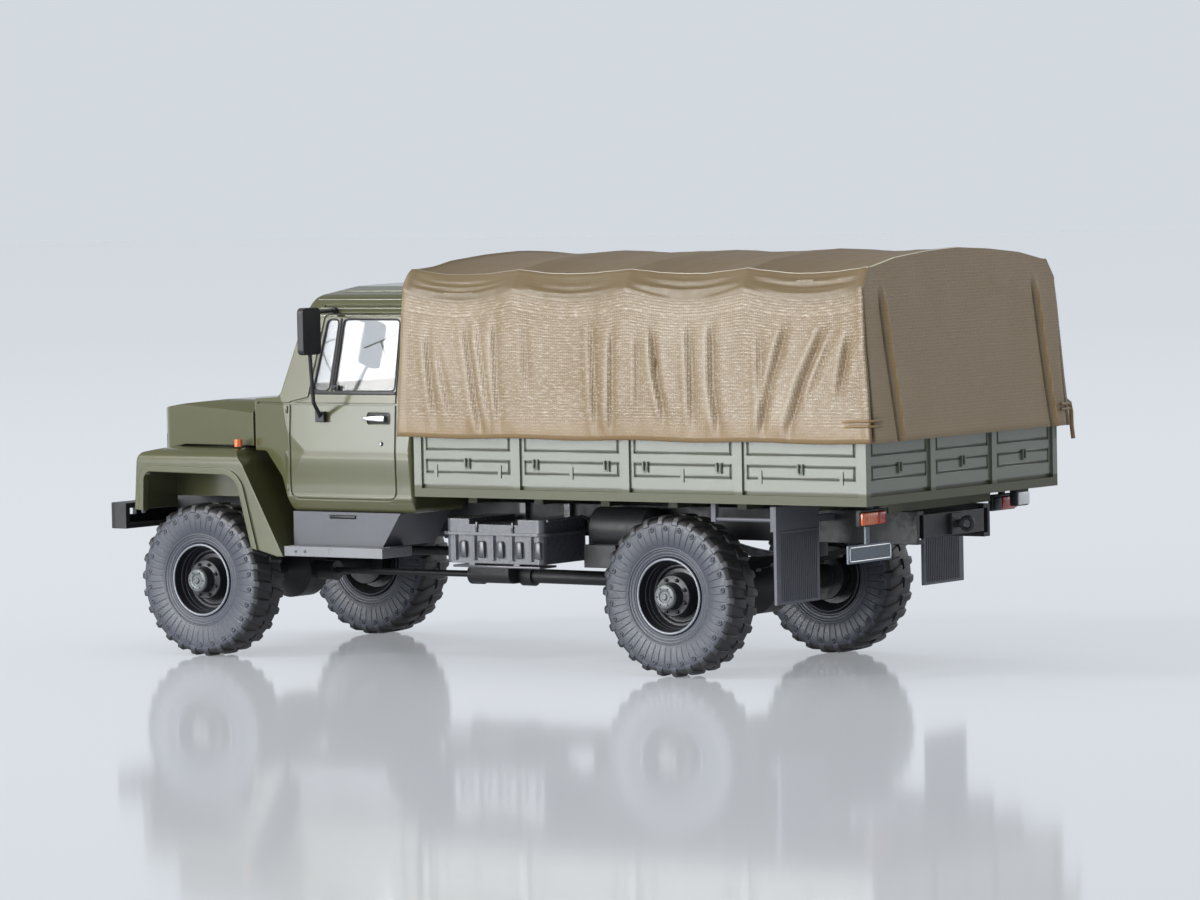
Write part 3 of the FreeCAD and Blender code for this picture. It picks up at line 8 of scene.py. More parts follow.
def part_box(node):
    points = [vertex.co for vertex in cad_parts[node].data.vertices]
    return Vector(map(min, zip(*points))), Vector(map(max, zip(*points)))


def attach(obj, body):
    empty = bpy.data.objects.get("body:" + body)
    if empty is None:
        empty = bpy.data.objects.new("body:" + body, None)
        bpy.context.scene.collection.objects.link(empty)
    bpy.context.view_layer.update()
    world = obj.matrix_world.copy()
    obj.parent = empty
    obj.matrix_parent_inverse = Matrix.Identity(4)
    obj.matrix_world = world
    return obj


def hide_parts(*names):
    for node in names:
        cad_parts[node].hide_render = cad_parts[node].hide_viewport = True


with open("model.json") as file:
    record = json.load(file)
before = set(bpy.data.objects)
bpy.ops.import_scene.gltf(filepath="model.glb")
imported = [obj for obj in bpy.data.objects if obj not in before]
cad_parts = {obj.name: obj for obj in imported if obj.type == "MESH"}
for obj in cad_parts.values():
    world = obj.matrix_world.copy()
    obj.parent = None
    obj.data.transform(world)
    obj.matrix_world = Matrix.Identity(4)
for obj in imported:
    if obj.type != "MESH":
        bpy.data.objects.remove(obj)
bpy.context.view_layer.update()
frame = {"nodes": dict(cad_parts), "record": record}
nodes = frame["nodes"]
mm = 0.001
print("frame loaded:", len(nodes), "nodes")

# Camera and stage

cameraSetup = {"place": (0.68057, 0.48991, 0.07466), "lens": 165.47,
               "heading": 35.399, "height": 2.962, "roll": -1.1264}


def makeCamera():
    heading, height, roll = (math.radians(cameraSetup[k]) for k in ("heading", "height", "roll"))
    back = Vector((math.cos(heading) * math.cos(height), math.sin(heading) * math.cos(height), math.sin(height)))
    side = (-back).cross(Vector((0, 0, 1))).normalized()
    top = side.cross(-back)
    right = side * math.cos(roll) + top * math.sin(roll)
    up = top * math.cos(roll) - side * math.sin(roll)
    data = bpy.data.cameras.new("photoCamera")
    data.lens = cameraSetup["lens"]
    data.sensor_width = 36
    data.clip_start = 0.01
    camera = bpy.data.objects.new("photoCamera", data)
    matrix = Matrix((right, up, back)).transposed().to_4x4()
    matrix.translation = Vector(cameraSetup["place"])
    camera.matrix_world = matrix
    bpy.context.scene.collection.objects.link(camera)
    bpy.context.scene.camera = camera



stageSetup = {"floorSize": 8.0, "floorColor": (0.64, 0.665, 0.70), "patch": 1.04, "floorRough": 0.08,
              "floorSoft": (0.80, 0.83, 0.87), "softShare": 0.30, "nearGlow": (0.28, 0.287, 0.295),
              "farGlow": (0.238, 0.243, 0.252), "glowReach": (0.5, 1.8), "horizon": (0.655, 0.695, 0.745),
              "zenith": (0.27, 0.28, 0.30), "skyBand": (0.10, 0.75), "worldStrength": 1.0, "lampAim": (0, 0, 0.03),
              "offFloor": ("keyPanel", "frontPanel", "rightPanel")}
lampSetup = [    # name, place, size, power, color
    ("keyPanel", (1.20, -0.41, 0.45), (0.98, 0.52), 14.0, (1.0, 0.985, 0.96)),
    ("lowPanel", (1.20, -0.425, 0.12), (0.90, 0.23), 5.6, (0.95, 0.98, 1.0)),
    ("bandPanel", (0.84, -0.69, 0.74), (0.32, 0.16), 3.0, (1, 1, 1)),
    ("topPanel", (-0.15, -0.10, 1.0), (0.9, 0.9), 1.2, (1, 1, 1)),
    ("frontPanel", (-0.25, -1.0, 0.40), (0.8, 0.6), 2.6, (0.95, 0.97, 1.0)),
    ("rightPanel", (-0.95, 0.25, 0.50), (1.1, 0.9), 3.6, (0.96, 0.98, 1.0)),
]


def makeFloor():
    bpy.ops.mesh.primitive_plane_add(size=stageSetup["floorSize"])
    floor = bpy.context.object
    floor.name = "studioFloor"
    material, tree, shader = newMaterial("floorWhite")
    place = textureSpace(tree)
    tone = mixColor(tree, noiseValue(tree, place, 9.0, 2.0), stageSetup["floorColor"],
                    tuple(c * stageSetup["patch"] for c in stageSetup["floorColor"]))
    away = addNode(tree, "ShaderNodeVectorMath", operation="LENGTH", Vector=place).outputs["Value"]
    glow = mapRange(tree, away, *stageSetup["glowReach"], 0.0, 1.0, "SMOOTHSTEP")
    setInputs(tree, shader, Base_Color=tone, Roughness=stageSetup["floorRough"], Emission_Strength=1.0,
              Emission_Color=mixColor(tree, glow, stageSetup["nearGlow"], stageSetup["farGlow"]))
    soft = addNode(tree, "ShaderNodeBsdfDiffuse", Color=stageSetup["floorSoft"])
    both = tree.nodes.new("ShaderNodeMixShader")
    both.inputs[0].default_value = stageSetup["softShare"]
    tree.links.new(shader.outputs[0], both.inputs[1])
    tree.links.new(soft.outputs[0], both.inputs[2])
    output = next(node for node in tree.nodes if node.type == "OUTPUT_MATERIAL")
    tree.links.new(both.outputs[0], output.inputs["Surface"])
    floor.data.materials.append(material)
    return floor


def makeWorld():
    world = bpy.data.worlds.new("studioWorld")
    bpy.context.scene.world = world
    bpy.context.scene.view_settings.view_transform = "Standard"
    world.use_nodes = True
    tree = world.node_tree
    rise = mapRange(tree, axes(tree, textureSpace(tree, "Generated"))["Z"], *stageSetup["skyBand"], 0.0, 1.0)
    setInputs(tree, tree.nodes["Background"], Strength=stageSetup["worldStrength"],
              Color=mixColor(tree, rise, stageSetup["horizon"], stageSetup["zenith"]))


def makeLamps(floor):
    floorUnlit = bpy.data.collections.new("floorUnlit")    # for panels that would glare in the glossy floor
    floorUnlit.objects.link(floor)
    floorUnlit.collection_objects[0].light_linking.link_state = "EXCLUDE"
    for name, place, size, power, color in lampSetup:
        data = bpy.data.lights.new(name, "AREA")
        data.shape = "RECTANGLE"
        data.size, data.size_y = size
        data.energy = power
        data.color = color
        lamp = bpy.data.objects.new(name, data)
        lamp.location = place
        lamp.rotation_euler = (Vector(stageSetup["lampAim"]) - lamp.location).to_track_quat("-Z", "Y").to_euler()
        lamp.visible_camera = False
        if name in stageSetup["offFloor"]:
            lamp.light_linking.receiver_collection = floorUnlit
        bpy.context.scene.collection.objects.link(lamp)


# Material helpers

def setInputs(tree, node, **values):
    # An underscore stands for a space; a socket is linked, a plain value is set on the node's own socket
    for key, value in values.items():
        name = key.replace("_", " ")
        if name not in node.inputs:
            setattr(node, key, value)
        elif isinstance(value, bpy.types.NodeSocket):
            tree.links.new(value, node.inputs[name])
        else:
            node.inputs[name].default_value = (*value, 1) if node.inputs[name].type == "RGBA" else value
    return node


def addNode(tree, kind, **values):
    return setInputs(tree, tree.nodes.new(kind), **values)


def newMaterial(name):
    material = bpy.data.materials.new(name)
    material.use_nodes = True
    tree = material.node_tree
    tree.nodes.clear()
    shader = tree.nodes.new("ShaderNodeBsdfPrincipled")
    addNode(tree, "ShaderNodeOutputMaterial", Surface=shader.outputs["BSDF"])
    return material, tree, shader


def textureSpace(tree, kind="Object"):
    return tree.nodes.new("ShaderNodeTexCoord").outputs[kind]


def axes(tree, vector):
    return addNode(tree, "ShaderNodeSeparateXYZ", Vector=vector).outputs


def noiseValue(tree, place, scale, detail, roughness=0.5):
    return addNode(tree, "ShaderNodeTexNoise", Vector=place, Scale=scale, Detail=detail,
                   Roughness=roughness).outputs["Fac"]


def mixColor(tree, factor, first, second):
    node = addNode(tree, "ShaderNodeMix", data_type="RGBA")
    tree.links.new(factor, node.inputs[0])
    for socket, value in ((node.inputs[6], first), (node.inputs[7], second)):
        if isinstance(value, bpy.types.NodeSocket):
            tree.links.new(value, socket)
        else:
            socket.default_value = (*value, 1)
    return node.outputs[2]


def mathNode(tree, operation, first, second=None, clamp=False):
    node = addNode(tree, "ShaderNodeMath", operation=operation, use_clamp=clamp)
    for socket, value in zip(node.inputs, (first, second)):
        if isinstance(value, bpy.types.NodeSocket):
            tree.links.new(value, socket)
        elif value is not None:
            socket.default_value = value
    return node.outputs[0]


def multiply(tree, first, second, clamp=False):
    return mathNode(tree, "MULTIPLY", first, second, clamp)


def sineRidge(tree, value, pitch):
    return mathNode(tree, "ABSOLUTE", mathNode(tree, "SINE", multiply(tree, value, pitch)))


def mapRange(tree, value, fromLow, fromHigh, toLow, toHigh, shape="LINEAR"):
    return addNode(tree, "ShaderNodeMapRange", interpolation_type=shape, Value=value, From_Min=fromLow,
                   From_Max=fromHigh, To_Min=toLow, To_Max=toHigh).outputs["Result"]


def bumpNormal(tree, height, strength, distance, normal=None):
    node = addNode(tree, "ShaderNodeBump", Strength=strength, Distance=distance, Height=height)
    if normal:
        tree.links.new(normal, node.inputs["Normal"])
    return node.outputs["Normal"]


def newGroup(name, inputs, outputs):
    tree = bpy.data.node_groups.new(name, "ShaderNodeTree")
    for label, kind, value in inputs:
        socket = tree.interface.new_socket(label, in_out="INPUT", socket_type="NodeSocket" + kind)
        if value is not None:
            socket.default_value = value
    for label, kind in outputs:
        tree.interface.new_socket(label, in_out="OUTPUT", socket_type="NodeSocket" + kind)
    return tree, tree.nodes.new("NodeGroupInput"), tree.nodes.new("NodeGroupOutput")


def makeFinishGroup():
    # Moulded or painted finish: slow tone change, dust on upward faces, fine grain in roughness and height
    tree, start, end = newGroup("mouldedFinish", [
        ("Vector", "Vector", None), ("Base", "Color", (0.2, 0.2, 0.2, 1)), ("Shade", "Color", (0.1, 0.1, 0.1, 1)),
        ("Dust", "Color", (0.4, 0.38, 0.33, 1)), ("Dust Amount", "Float", 0.15), ("Rough Low", "Float", 0.3),
        ("Rough High", "Float", 0.45), ("Tone Scale", "Float", 60.0), ("Grain Scale", "Float", 5000.0)],
        [("Color", "Color"), ("Roughness", "Float"), ("Height", "Float")])
    given = start.outputs
    tone = noiseValue(tree, given["Vector"], given["Tone Scale"], 5.0, 0.6)
    grain = noiseValue(tree, given["Vector"], given["Grain Scale"], 3.0, 0.55)
    speck = noiseValue(tree, given["Vector"], 900.0, 4.0, 0.7)
    base = mixColor(tree, mapRange(tree, tone, 0.35, 0.68, 0.0, 1.0), given["Shade"], given["Base"])
    upward = axes(tree, tree.nodes.new("ShaderNodeNewGeometry").outputs["Normal"])["Z"]
    dusty = multiply(tree, mapRange(tree, upward, 0.35, 1.0, 0.12, 1.0), mapRange(tree, speck, 0.42, 0.66, 0.0, 1.0))
    dusty = multiply(tree, dusty, given["Dust Amount"], clamp=True)
    setInputs(tree, end, Color=mixColor(tree, dusty, base, given["Dust"]), Height=grain,
              Roughness=mapRange(tree, speck, 0.35, 0.65, given["Rough Low"], given["Rough High"]))


def makeWeaveGroup():
    # Plain weave, one thread to a unit of the vector, with threads that wander a little
    tree, start, end = newGroup("coarseWeave", [("Vector", "Vector", None), ("Slub", "Float", 0.4)],
                                [("Height", "Float"), ("Gap", "Float")])
    place = start.outputs["Vector"]
    wander = mathNode(tree, "SUBTRACT", noiseValue(tree, place, 0.9, 2.0), 0.5)
    shift = multiply(tree, wander, start.outputs["Slub"])
    threads = [mathNode(tree, "ADD", axes(tree, place)[axis], shift) for axis in "XY"]
    across, along = (sineRidge(tree, thread, math.pi) for thread in threads)
    cell = mathNode(tree, "ADD", *(mathNode(tree, "FLOOR", thread) for thread in threads))
    height = tree.nodes.new("ShaderNodeMix")
    for index, value in ((0, mathNode(tree, "PINGPONG", cell, 1.0)),
                         (2, mathNode(tree, "MAXIMUM", across, multiply(tree, along, 0.62))),
                         (3, mathNode(tree, "MAXIMUM", multiply(tree, across, 0.62), along))):
        tree.links.new(value, height.inputs[index])
    setInputs(tree, end, Height=height.outputs[0], Gap=mapRange(tree, height.outputs[0], 0.12, 0.5, 1.0, 0.0))


finishDefaults = {"edge": 0.00016, "edgeSamples": 8, "coatRough": 0.12, "grainDepth": 0.0002}
finishes = {
    "bodyGreen": {"base": (0.082, 0.084, 0.036), "shade": (0.074, 0.075, 0.032), "dust": 0.006, "rough": (0.23, 0.27),
                  "coat": 0.52, "coatRough": 0.09, "bump": 0.004, "edge": 0.00022,
                  "crown": {"lines": ((0.03080, 0.0015, 0.00032, 0.0042), (0.0251, 0.0006, 0.00012, 0.0009)),
                            "inner": 0.0228, "start": -0.0362, "fade": 0.0008}},
    "bedGreen": {"base": (0.124, 0.137, 0.100), "shade": (0.116, 0.128, 0.093), "dust": 0.004, "rough": (0.26, 0.32),
                 "coat": 0.65, "bump": 0.004, "edge": 0.0, "low": (0.080, 0.083, 0.046),
                 "lowBand": (0.0273, 0.0276), "lowRough": (0.55, 0.30), "lowCoat": 0.08},
    # Painted shadow: dark strips laid in the pressed lines of the boards
    "bedSeam": {"base": (0.050, 0.055, 0.040), "shade": (0.042, 0.046, 0.033), "dust": 0.02, "rough": (0.45, 0.6),
                "coat": 0.0, "bump": 0.02},
    "stepGrey": {"base": (0.175, 0.180, 0.195), "shade": (0.140, 0.145, 0.158), "dust": 0.04, "rough": (0.26, 0.36),
                 "coat": 0.35, "bump": 0.03},
    "boxGrey": {"base": (0.078, 0.082, 0.096), "shade": (0.064, 0.068, 0.080), "dust": 0.05, "rough": (0.34, 0.44),
                "coat": 0.10, "bump": 0.04},
    "chassisBlack": {"base": (0.019, 0.020, 0.023), "shade": (0.012, 0.013, 0.015), "dust": 0.04,
                     "rough": (0.42, 0.55), "coat": 0.0, "bump": 0.05},
    "tankBlack": {"base": (0.072, 0.075, 0.090), "shade": (0.055, 0.058, 0.070), "dust": 0.05,
                  "rough": (0.24, 0.34), "coat": 0.45, "bump": 0.04},
    "flapRubber": {"base": (0.110, 0.114, 0.134), "shade": (0.092, 0.096, 0.113), "dust": 0.05,
                   "rough": (0.42, 0.55), "coat": 0.0, "bump": 0.05},
    "rimBlack": {"base": (0.020, 0.022, 0.027), "shade": (0.013, 0.014, 0.018), "dust": 0.03, "rough": (0.34, 0.46),
                 "coat": 0.08, "bump": 0.02},
    # Painted highlight: light grey on the rim flange's lip stands in for the bright ring on its rounded edge
    "rimEdge": {"base": (0.26, 0.28, 0.31), "shade": (0.20, 0.22, 0.25), "dust": 0.02, "rough": (0.20, 0.30),
                "coat": 0.4, "bump": 0.02},
    "hubGrey": {"base": (0.125, 0.140, 0.145), "shade": (0.10, 0.112, 0.118), "dust": 0.03, "rough": (0.30, 0.40),
                "coat": 0.2, "bump": 0.03},
    "interiorBlack": {"base": (0.030, 0.030, 0.031), "shade": (0.020, 0.020, 0.021), "dust": 0.05,
                      "rough": (0.50, 0.65), "coat": 0.0, "bump": 0.08},
    "rubberSeal": {"base": (0.020, 0.020, 0.022), "shade": (0.012, 0.012, 0.014), "dust": 0.03, "rough": (0.36, 0.5),
                   "coat": 0.0, "bump": 0.05},
    "plateSlate": {"base": (0.070, 0.095, 0.125), "shade": (0.055, 0.075, 0.100), "dust": 0.02, "rough": (0.25, 0.35),
                   "coat": 0.3, "bump": 0.02},
    "tanStrap": {"base": (0.27, 0.18, 0.085), "shade": (0.20, 0.13, 0.058), "dust": 0.05, "rough": (0.35, 0.5),
                 "coat": 0.0, "bump": 0.15},
    # Sidewall: grey rubber with a painted bluish sheen, lighter and bluer than the tread
    "tyreRubber": {"base": (0.070, 0.078, 0.099), "shade": (0.052, 0.058, 0.075), "dust": 0.08, "rough": (0.34, 0.46),
                   "coat": 0.0, "bump": 0.10},
    "treadRubber": {"base": (0.034, 0.034, 0.038), "shade": (0.024, 0.023, 0.025), "dust": 0.12,
                    "rough": (0.42, 0.55), "coat": 0.0, "bump": 0.10},
}


def makeFinish(name, values):
    values = {**finishDefaults, **values}
    material, tree, shader = newMaterial(name)
    place = textureSpace(tree)
    group = addNode(tree, "ShaderNodeGroup", node_tree=bpy.data.node_groups["mouldedFinish"], Vector=place,
                    Base=values["base"], Shade=values["shade"], Dust_Amount=values["dust"],
                    Rough_Low=values["rough"][0], Rough_High=values["rough"][1])
    color, rough, coat, normal = group.outputs["Color"], group.outputs["Roughness"], values["coat"], None
    if "low" in values:    # another tone and less gloss below a level
        def below(under, over):
            return mapRange(tree, axes(tree, place)["Z"], *values["lowBand"], under, over)
        color = mixColor(tree, below(1.0, 0.0), color, values["low"])
        rough, coat = below(*values["lowRough"]), below(values["lowCoat"], coat)
    if values["edge"]:
        normal = addNode(tree, "ShaderNodeBevel", samples=values["edgeSamples"],
                         Radius=values["edge"]).outputs["Normal"]
    if "crown" in values:
        normal = addCrown(tree, normal, values["crown"])
    setInputs(tree, shader, Base_Color=color, Roughness=rough, Coat_Weight=coat, Coat_Roughness=values["coatRough"],
              Normal=bumpNormal(tree, group.outputs["Height"], values["bump"], values["grainDepth"], normal))
    return material


def addCrown(tree, normal, values):
    # Pressed swage line along the cab side, a low round crown in the panel
    split = axes(tree, textureSpace(tree))
    crown = None
    for level, reach, rise, below in values["lines"]:
        upper = mapRange(tree, split["Z"], level, level + reach, rise, 0.0, "SMOOTHERSTEP")
        lower = mapRange(tree, split["Z"], level - below, level, 0.0, rise, "SMOOTHSTEP")
        line = mathNode(tree, "MINIMUM", upper, lower)
        crown = line if crown is None else mathNode(tree, "ADD", crown, line)
    inner, start, fade = values["inner"], values["start"], values["fade"]
    side = mapRange(tree, mathNode(tree, "ABSOLUTE", split["X"]), inner - fade, inner, 0.0, 1.0)
    crown = multiply(tree, multiply(tree, crown, side), mapRange(tree, split["Y"], start, start + fade, 0.0, 1.0))
    return bumpNormal(tree, crown, 1.0, 1.0, normal)


glosses = {
    "lampOrange": {"color": (0.80, 0.17, 0.025), "deep": (0.55, 0.09, 0.012), "rough": 0.12},
    "lampRed": {"color": (0.52, 0.035, 0.02), "deep": (0.33, 0.016, 0.012), "rough": 0.12},
    "lampWhite": {"color": (0.75, 0.76, 0.76), "deep": (0.55, 0.56, 0.57), "rough": 0.10},
}
clearSetup = {"tints": ((0.965, 0.98, 0.99), (0.985, 0.995, 1.0)), "smear": 120.0, "rough": (0.02, 0.07)}
brightSetup = {"tints": ((0.62, 0.63, 0.65), (0.80, 0.81, 0.83)), "grain": 2600.0, "rough": (0.12, 0.26)}


def makeLens(name, values):
    # Coloured lens with fine moulded flutes
    material, tree, shader = newMaterial(name)
    wave = addNode(tree, "ShaderNodeTexWave", bands_direction="X", Vector=textureSpace(tree), Scale=700.0,
                   Distortion=0.4).outputs["Fac"]
    setInputs(tree, shader, Base_Color=mixColor(tree, wave, values["deep"], values["color"]),
              Roughness=values["rough"], Coat_Weight=0.6, Normal=bumpNormal(tree, wave, 0.3, 0.0001))
    return material


def makeGlass():
    material, tree, shader = newMaterial("clearGlass")
    smear = noiseValue(tree, textureSpace(tree), clearSetup["smear"], 3.0)
    setInputs(tree, shader, Base_Color=mixColor(tree, smear, *clearSetup["tints"]), Transmission_Weight=0.95,
              Roughness=mapRange(tree, smear, 0.3, 0.7, *clearSetup["rough"]), IOR=1.5, Metallic=0.0)
    return material


def makeBright():
    material, tree, shader = newMaterial("brightMetal")
    brushed = noiseValue(tree, textureSpace(tree), brightSetup["grain"], 3.0)
    setInputs(tree, shader, Base_Color=mixColor(tree, brushed, *brightSetup["tints"]), Metallic=1.0,
              Roughness=mapRange(tree, brushed, 0.3, 0.7, *brightSetup["rough"]))
    return material


canvasSetup = {
    # The pale tone serves real stains and painted glints
    "tanCanvas": {"side": (0.200, 0.136, 0.064), "deep": (0.127, 0.082, 0.035), "pale": (0.49, 0.425, 0.347),
                  # eave and roof tones are painted shade: darker colours for the faces of the cover that turn up,
                  # away from the low side light
                  "hem": (0.200, 0.130, 0.058), "coat": 0.22, "eave": (0.138, 0.098, 0.047),
                  # valley: painted shade in the fold valleys
                  "roof": (0.158, 0.110, 0.055), "valley": (0.150, 0.092, 0.036), "welt": (0.80, 0.74, 0.62),
                  "glint": 0.85, "rough": (0.28, 0.46), "bump": 0.65, "rowShade": 0.55},
    "endCanvas": {"side": (0.275, 0.204, 0.121), "deep": (0.190, 0.134, 0.075), "pale": (0.34, 0.262, 0.166),
                  # valley and ridge: painted shade in the curtain's fold valleys, painted highlight on its ridges
                  "valley": (0.110, 0.070, 0.030), "ridge": (0.40, 0.25, 0.09),
                  "glint": 0.25, "rough": (0.50, 0.65), "bump": 0.35, "coat": 0.0, "rowShade": 0.12},
}
canvasPlaces = {"threads": (2.7, 2.15, 1.0), "glints": (0.75, 3.6, 1.0), "rowPitch": 6.9,    # mm along the sheet
                "hemCalm": (2.0, 3.6), "frontCalm": (1.2, 1.9), "roofCalm": (21.3, 21.6), "hem": (1.2, 3.4),
                "eaveFade": (20.2, 21.5), "eave": (21.5, 21.7), "roof": (25.2, 25.5), "welt": 25.25,
                "weltHalf": (0.10, 0.22), "weltFade": (12.0, 24.0), "backWelt": (83.6, 83.75), "backUp": (24.9, 25.2)}


def makeCanvas(name, values):
    material, tree, shader = newMaterial(name)
    flat = textureSpace(tree, "UV")
    at = canvasPlaces

    def stretched(scale):
        node = addNode(tree, "ShaderNodeVectorMath", operation="MULTIPLY", Vector=flat)
        node.inputs[1].default_value = scale
        return node.outputs[0]

    def ramp(value, band, low, high):
        return mapRange(tree, value, *band, low, high)
    weave = addNode(tree, "ShaderNodeGroup", node_tree=bpy.data.node_groups["coarseWeave"],
                    Vector=stretched(at["threads"]))
    stain = noiseValue(tree, textureSpace(tree), 55.0, 5.0, 0.6)
    glint = noiseValue(tree, stretched(at["glints"]), 1.0, 3.0, 0.75)
    along, up = (axes(tree, flat)[axis] for axis in "XY")
    lively = multiply(tree, ramp(up, at["hemCalm"], 0.25, 1.0), ramp(along, at["frontCalm"], 0.15, 1.0))
    if "roof" in values:
        lively = multiply(tree, lively, ramp(up, at["roofCalm"], 1.0, 0.12))
    # Painted glints: pale flecks mixed into the cloth colour stand in for sheen on the threads
    paintedGlint = multiply(tree, ramp(glint, (0.50, 0.72), 0.0, values["glint"]), lively)
    # Painted shade between the threads and along the thread rows: the deep tone
    row = ramp(sineRidge(tree, up, at["rowPitch"]), (0.0, 0.55), values["rowShade"], 0.0)
    gap = mathNode(tree, "MAXIMUM", multiply(tree, weave.outputs["Gap"], 0.75), row)
    # Painted shade and highlight from the fold height: valleys darker brown, ridges paler
    fold = addNode(tree, "ShaderNodeAttribute", attribute_name="foldHeight").outputs["Fac"]
    rough = mapRange(tree, glint, 0.35, 0.7, *reversed(values["rough"]))
    layers = [(ramp(stain, (0.3, 0.7), 0.0, 0.30), "pale"), (paintedGlint, "pale"), (gap, "deep"),
              (ramp(fold, (-0.30, -0.04), 0.70, 0.0), "valley")]
    if "ridge" in values:
        layers.append((ramp(fold, (0.15, 0.50), 0.0, 0.75), "ridge"))
    if "roof" in values:
        rough = mathNode(tree, "MAXIMUM", rough, ramp(up, at["roof"], 0.0, 0.72))
        # Painted highlight: a bright line along the welt at the roof edge and along the rear top edge
        offWelt = mathNode(tree, "ABSOLUTE", mathNode(tree, "SUBTRACT", up, at["welt"]))
        line = multiply(tree, ramp(offWelt, at["weltHalf"], 0.9, 0.0), ramp(along, at["weltFade"], 0.25, 1.0))
        back = multiply(tree, ramp(along, at["backWelt"], 0.0, 0.6), ramp(up, at["backUp"], 0.0, 1.0))
        # Painted highlight: the fold ridges take the paler tone
        layers += [(ramp(fold, (0.06, 0.30), 0.0, 0.30), "pale"), (ramp(up, at["hem"], 0.85, 0.0), "hem"),
                   # Painted shade: the eave band and the roof take darker colours
                   (ramp(up, at["eaveFade"], 0.0, 0.45), "eave"), (ramp(up, at["eave"], 0.0, 0.85), "eave"),
                   (ramp(up, at["roof"], 0.0, 0.9), "roof"), (mathNode(tree, "MAXIMUM", line, back), "welt")]
    body = values["side"]
    for share, tone in layers:
        body = mixColor(tree, share, body, values[tone])
    rise = mathNode(tree, "ADD", weave.outputs["Height"], multiply(tree, glint, 0.8))
    setInputs(tree, shader, Base_Color=body, Roughness=rough, Coat_Weight=multiply(tree, lively, values["coat"]),
              Coat_Roughness=0.30, Normal=bumpNormal(tree, multiply(tree, rise, lively), values["bump"], 0.0001))
    return material


makeFinishGroup()
makeWeaveGroup()
materials = {"clearGlass": makeGlass(), "brightMetal": makeBright()}
for setups, maker in ((finishes, makeFinish), (glosses, makeLens), (canvasSetup, makeCanvas)):
    materials.update({name: maker(name, values) for name, values in setups.items()})
makeCamera()
makeLamps(makeFloor())
makeWorld()
print("stage and materials ready:", len(materials))

# CAD pieces keep their shape and take these finishes

slotFinish = {"body_green": "bodyGreen", "bed_green": "bedGreen", "cover_tan": "tanCanvas", "box_grey": "boxGrey",
              "clear_glass": "clearGlass", "lamp_lens": "lampWhite", "lamp_orange": "lampOrange",
              "lamp_red": "lampRed", "tyre_rubber": "tyreRubber", "rim_black": "rimBlack",
              "interior_black": "interiorBlack", "bright_trim": "brightMetal", "plate_slate": "plateSlate",
              "chassis_black": "chassisBlack"}
nodeFinish = {"fuel_tank": "tankBlack", "mudflap": "flapRubber", "step": "stepGrey"}    # left and right pairs
for part in frame["record"]["subparts"]:
    target = nodes[part["node"]]
    pair = part["node"].rpartition("_")[0]
    finish = materials[nodeFinish.get(pair, slotFinish[part["material_slot"]])]
    for index in range(max(1, len(target.material_slots))):
        if index < len(target.material_slots):
            target.material_slots[index].material = finish
        else:
            target.data.materials.append(finish)
print("finishes set on the carried-over pieces")

# Mesh helpers

def finishPiece(name, mesh, finish, body="truck", replaces=(), sharp=32.0, merge=0.004):
    bmesh.ops.remove_doubles(mesh, verts=mesh.verts, dist=merge * mm)
    bmesh.ops.recalc_face_normals(mesh, faces=mesh.faces)
    data = bpy.data.meshes.new(name)
    for face in mesh.faces:
        face.smooth = True
    mesh.to_mesh(data)
    mesh.free()
    data.set_sharp_from_angle(angle=math.radians(sharp))
    piece = bpy.data.objects.new(name, data)
    bpy.context.scene.collection.objects.link(piece)
    for label in ([finish] if isinstance(finish, str) else finish):
        data.materials.append(materials[label])
    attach(piece, body)
    if replaces:
        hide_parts(*replaces)
    return piece


def addBlock(mesh, low, high, corner=0.0, finish=0):
    low, high = Vector(low), Vector(high)
    size = high - low
    matrix = Matrix.Translation((low + high) / 2 * mm) @ Matrix.Diagonal((*(size * mm), 1))
    verts = bmesh.ops.create_cube(mesh, size=1, matrix=matrix)["verts"]
    edges = list({edge for vert in verts for edge in vert.link_edges})
    faces = list({face for vert in verts for face in vert.link_faces})
    for face in faces:
        face.material_index = finish
    if corner:
        bmesh.ops.bevel(mesh, geom=edges, offset=corner * mm, segments=2, profile=0.5, affect="EDGES", material=-1)


def addRod(mesh, start, end, radius, sides=16, finish=0, corner=0.0):
    start, end = Vector(start) * mm, Vector(end) * mm
    turn = (end - start).to_track_quat("Z", "Y").to_matrix().to_4x4()
    matrix = Matrix.Translation((start + end) / 2) @ turn
    verts = bmesh.ops.create_cone(mesh, cap_ends=True, segments=sides, radius1=radius * mm,
                                  radius2=radius * mm, depth=(end - start).length, matrix=matrix)["verts"]
    for face in {face for vert in verts for face in vert.link_faces}:
        face.material_index = finish
    if corner:
        rims = [edge for edge in {e for vert in verts for e in vert.link_edges}
                if any(len(face.verts) > 4 for face in edge.link_faces)]
        bmesh.ops.bevel(mesh, geom=rims, offset=corner * mm, segments=2, profile=0.5, affect="EDGES", material=-1)


def addSpun(mesh, outline, centre, steps, finishAt=None):
    # Turns an outline of (along X, radius) points about the X axis through centre
    verts = [mesh.verts.new(Vector(centre) * mm + Vector((a, 0, r)) * mm) for a, r in outline]
    edges = [mesh.edges.new(pair) for pair in zip(verts, verts[1:])]
    old = set(mesh.faces) if finishAt else ()
    bmesh.ops.spin(mesh, geom=verts + edges, cent=Vector(centre) * mm, axis=(1, 0, 0), dvec=(0, 0, 0),
                   angle=2 * math.pi, steps=steps, use_merge=True)
    if finishAt:
        for face in set(mesh.faces) - old:
            middle = face.calc_center_median() - Vector(centre) * mm
            face.material_index = finishAt(middle.x / mm, math.hypot(middle.y, middle.z) / mm)


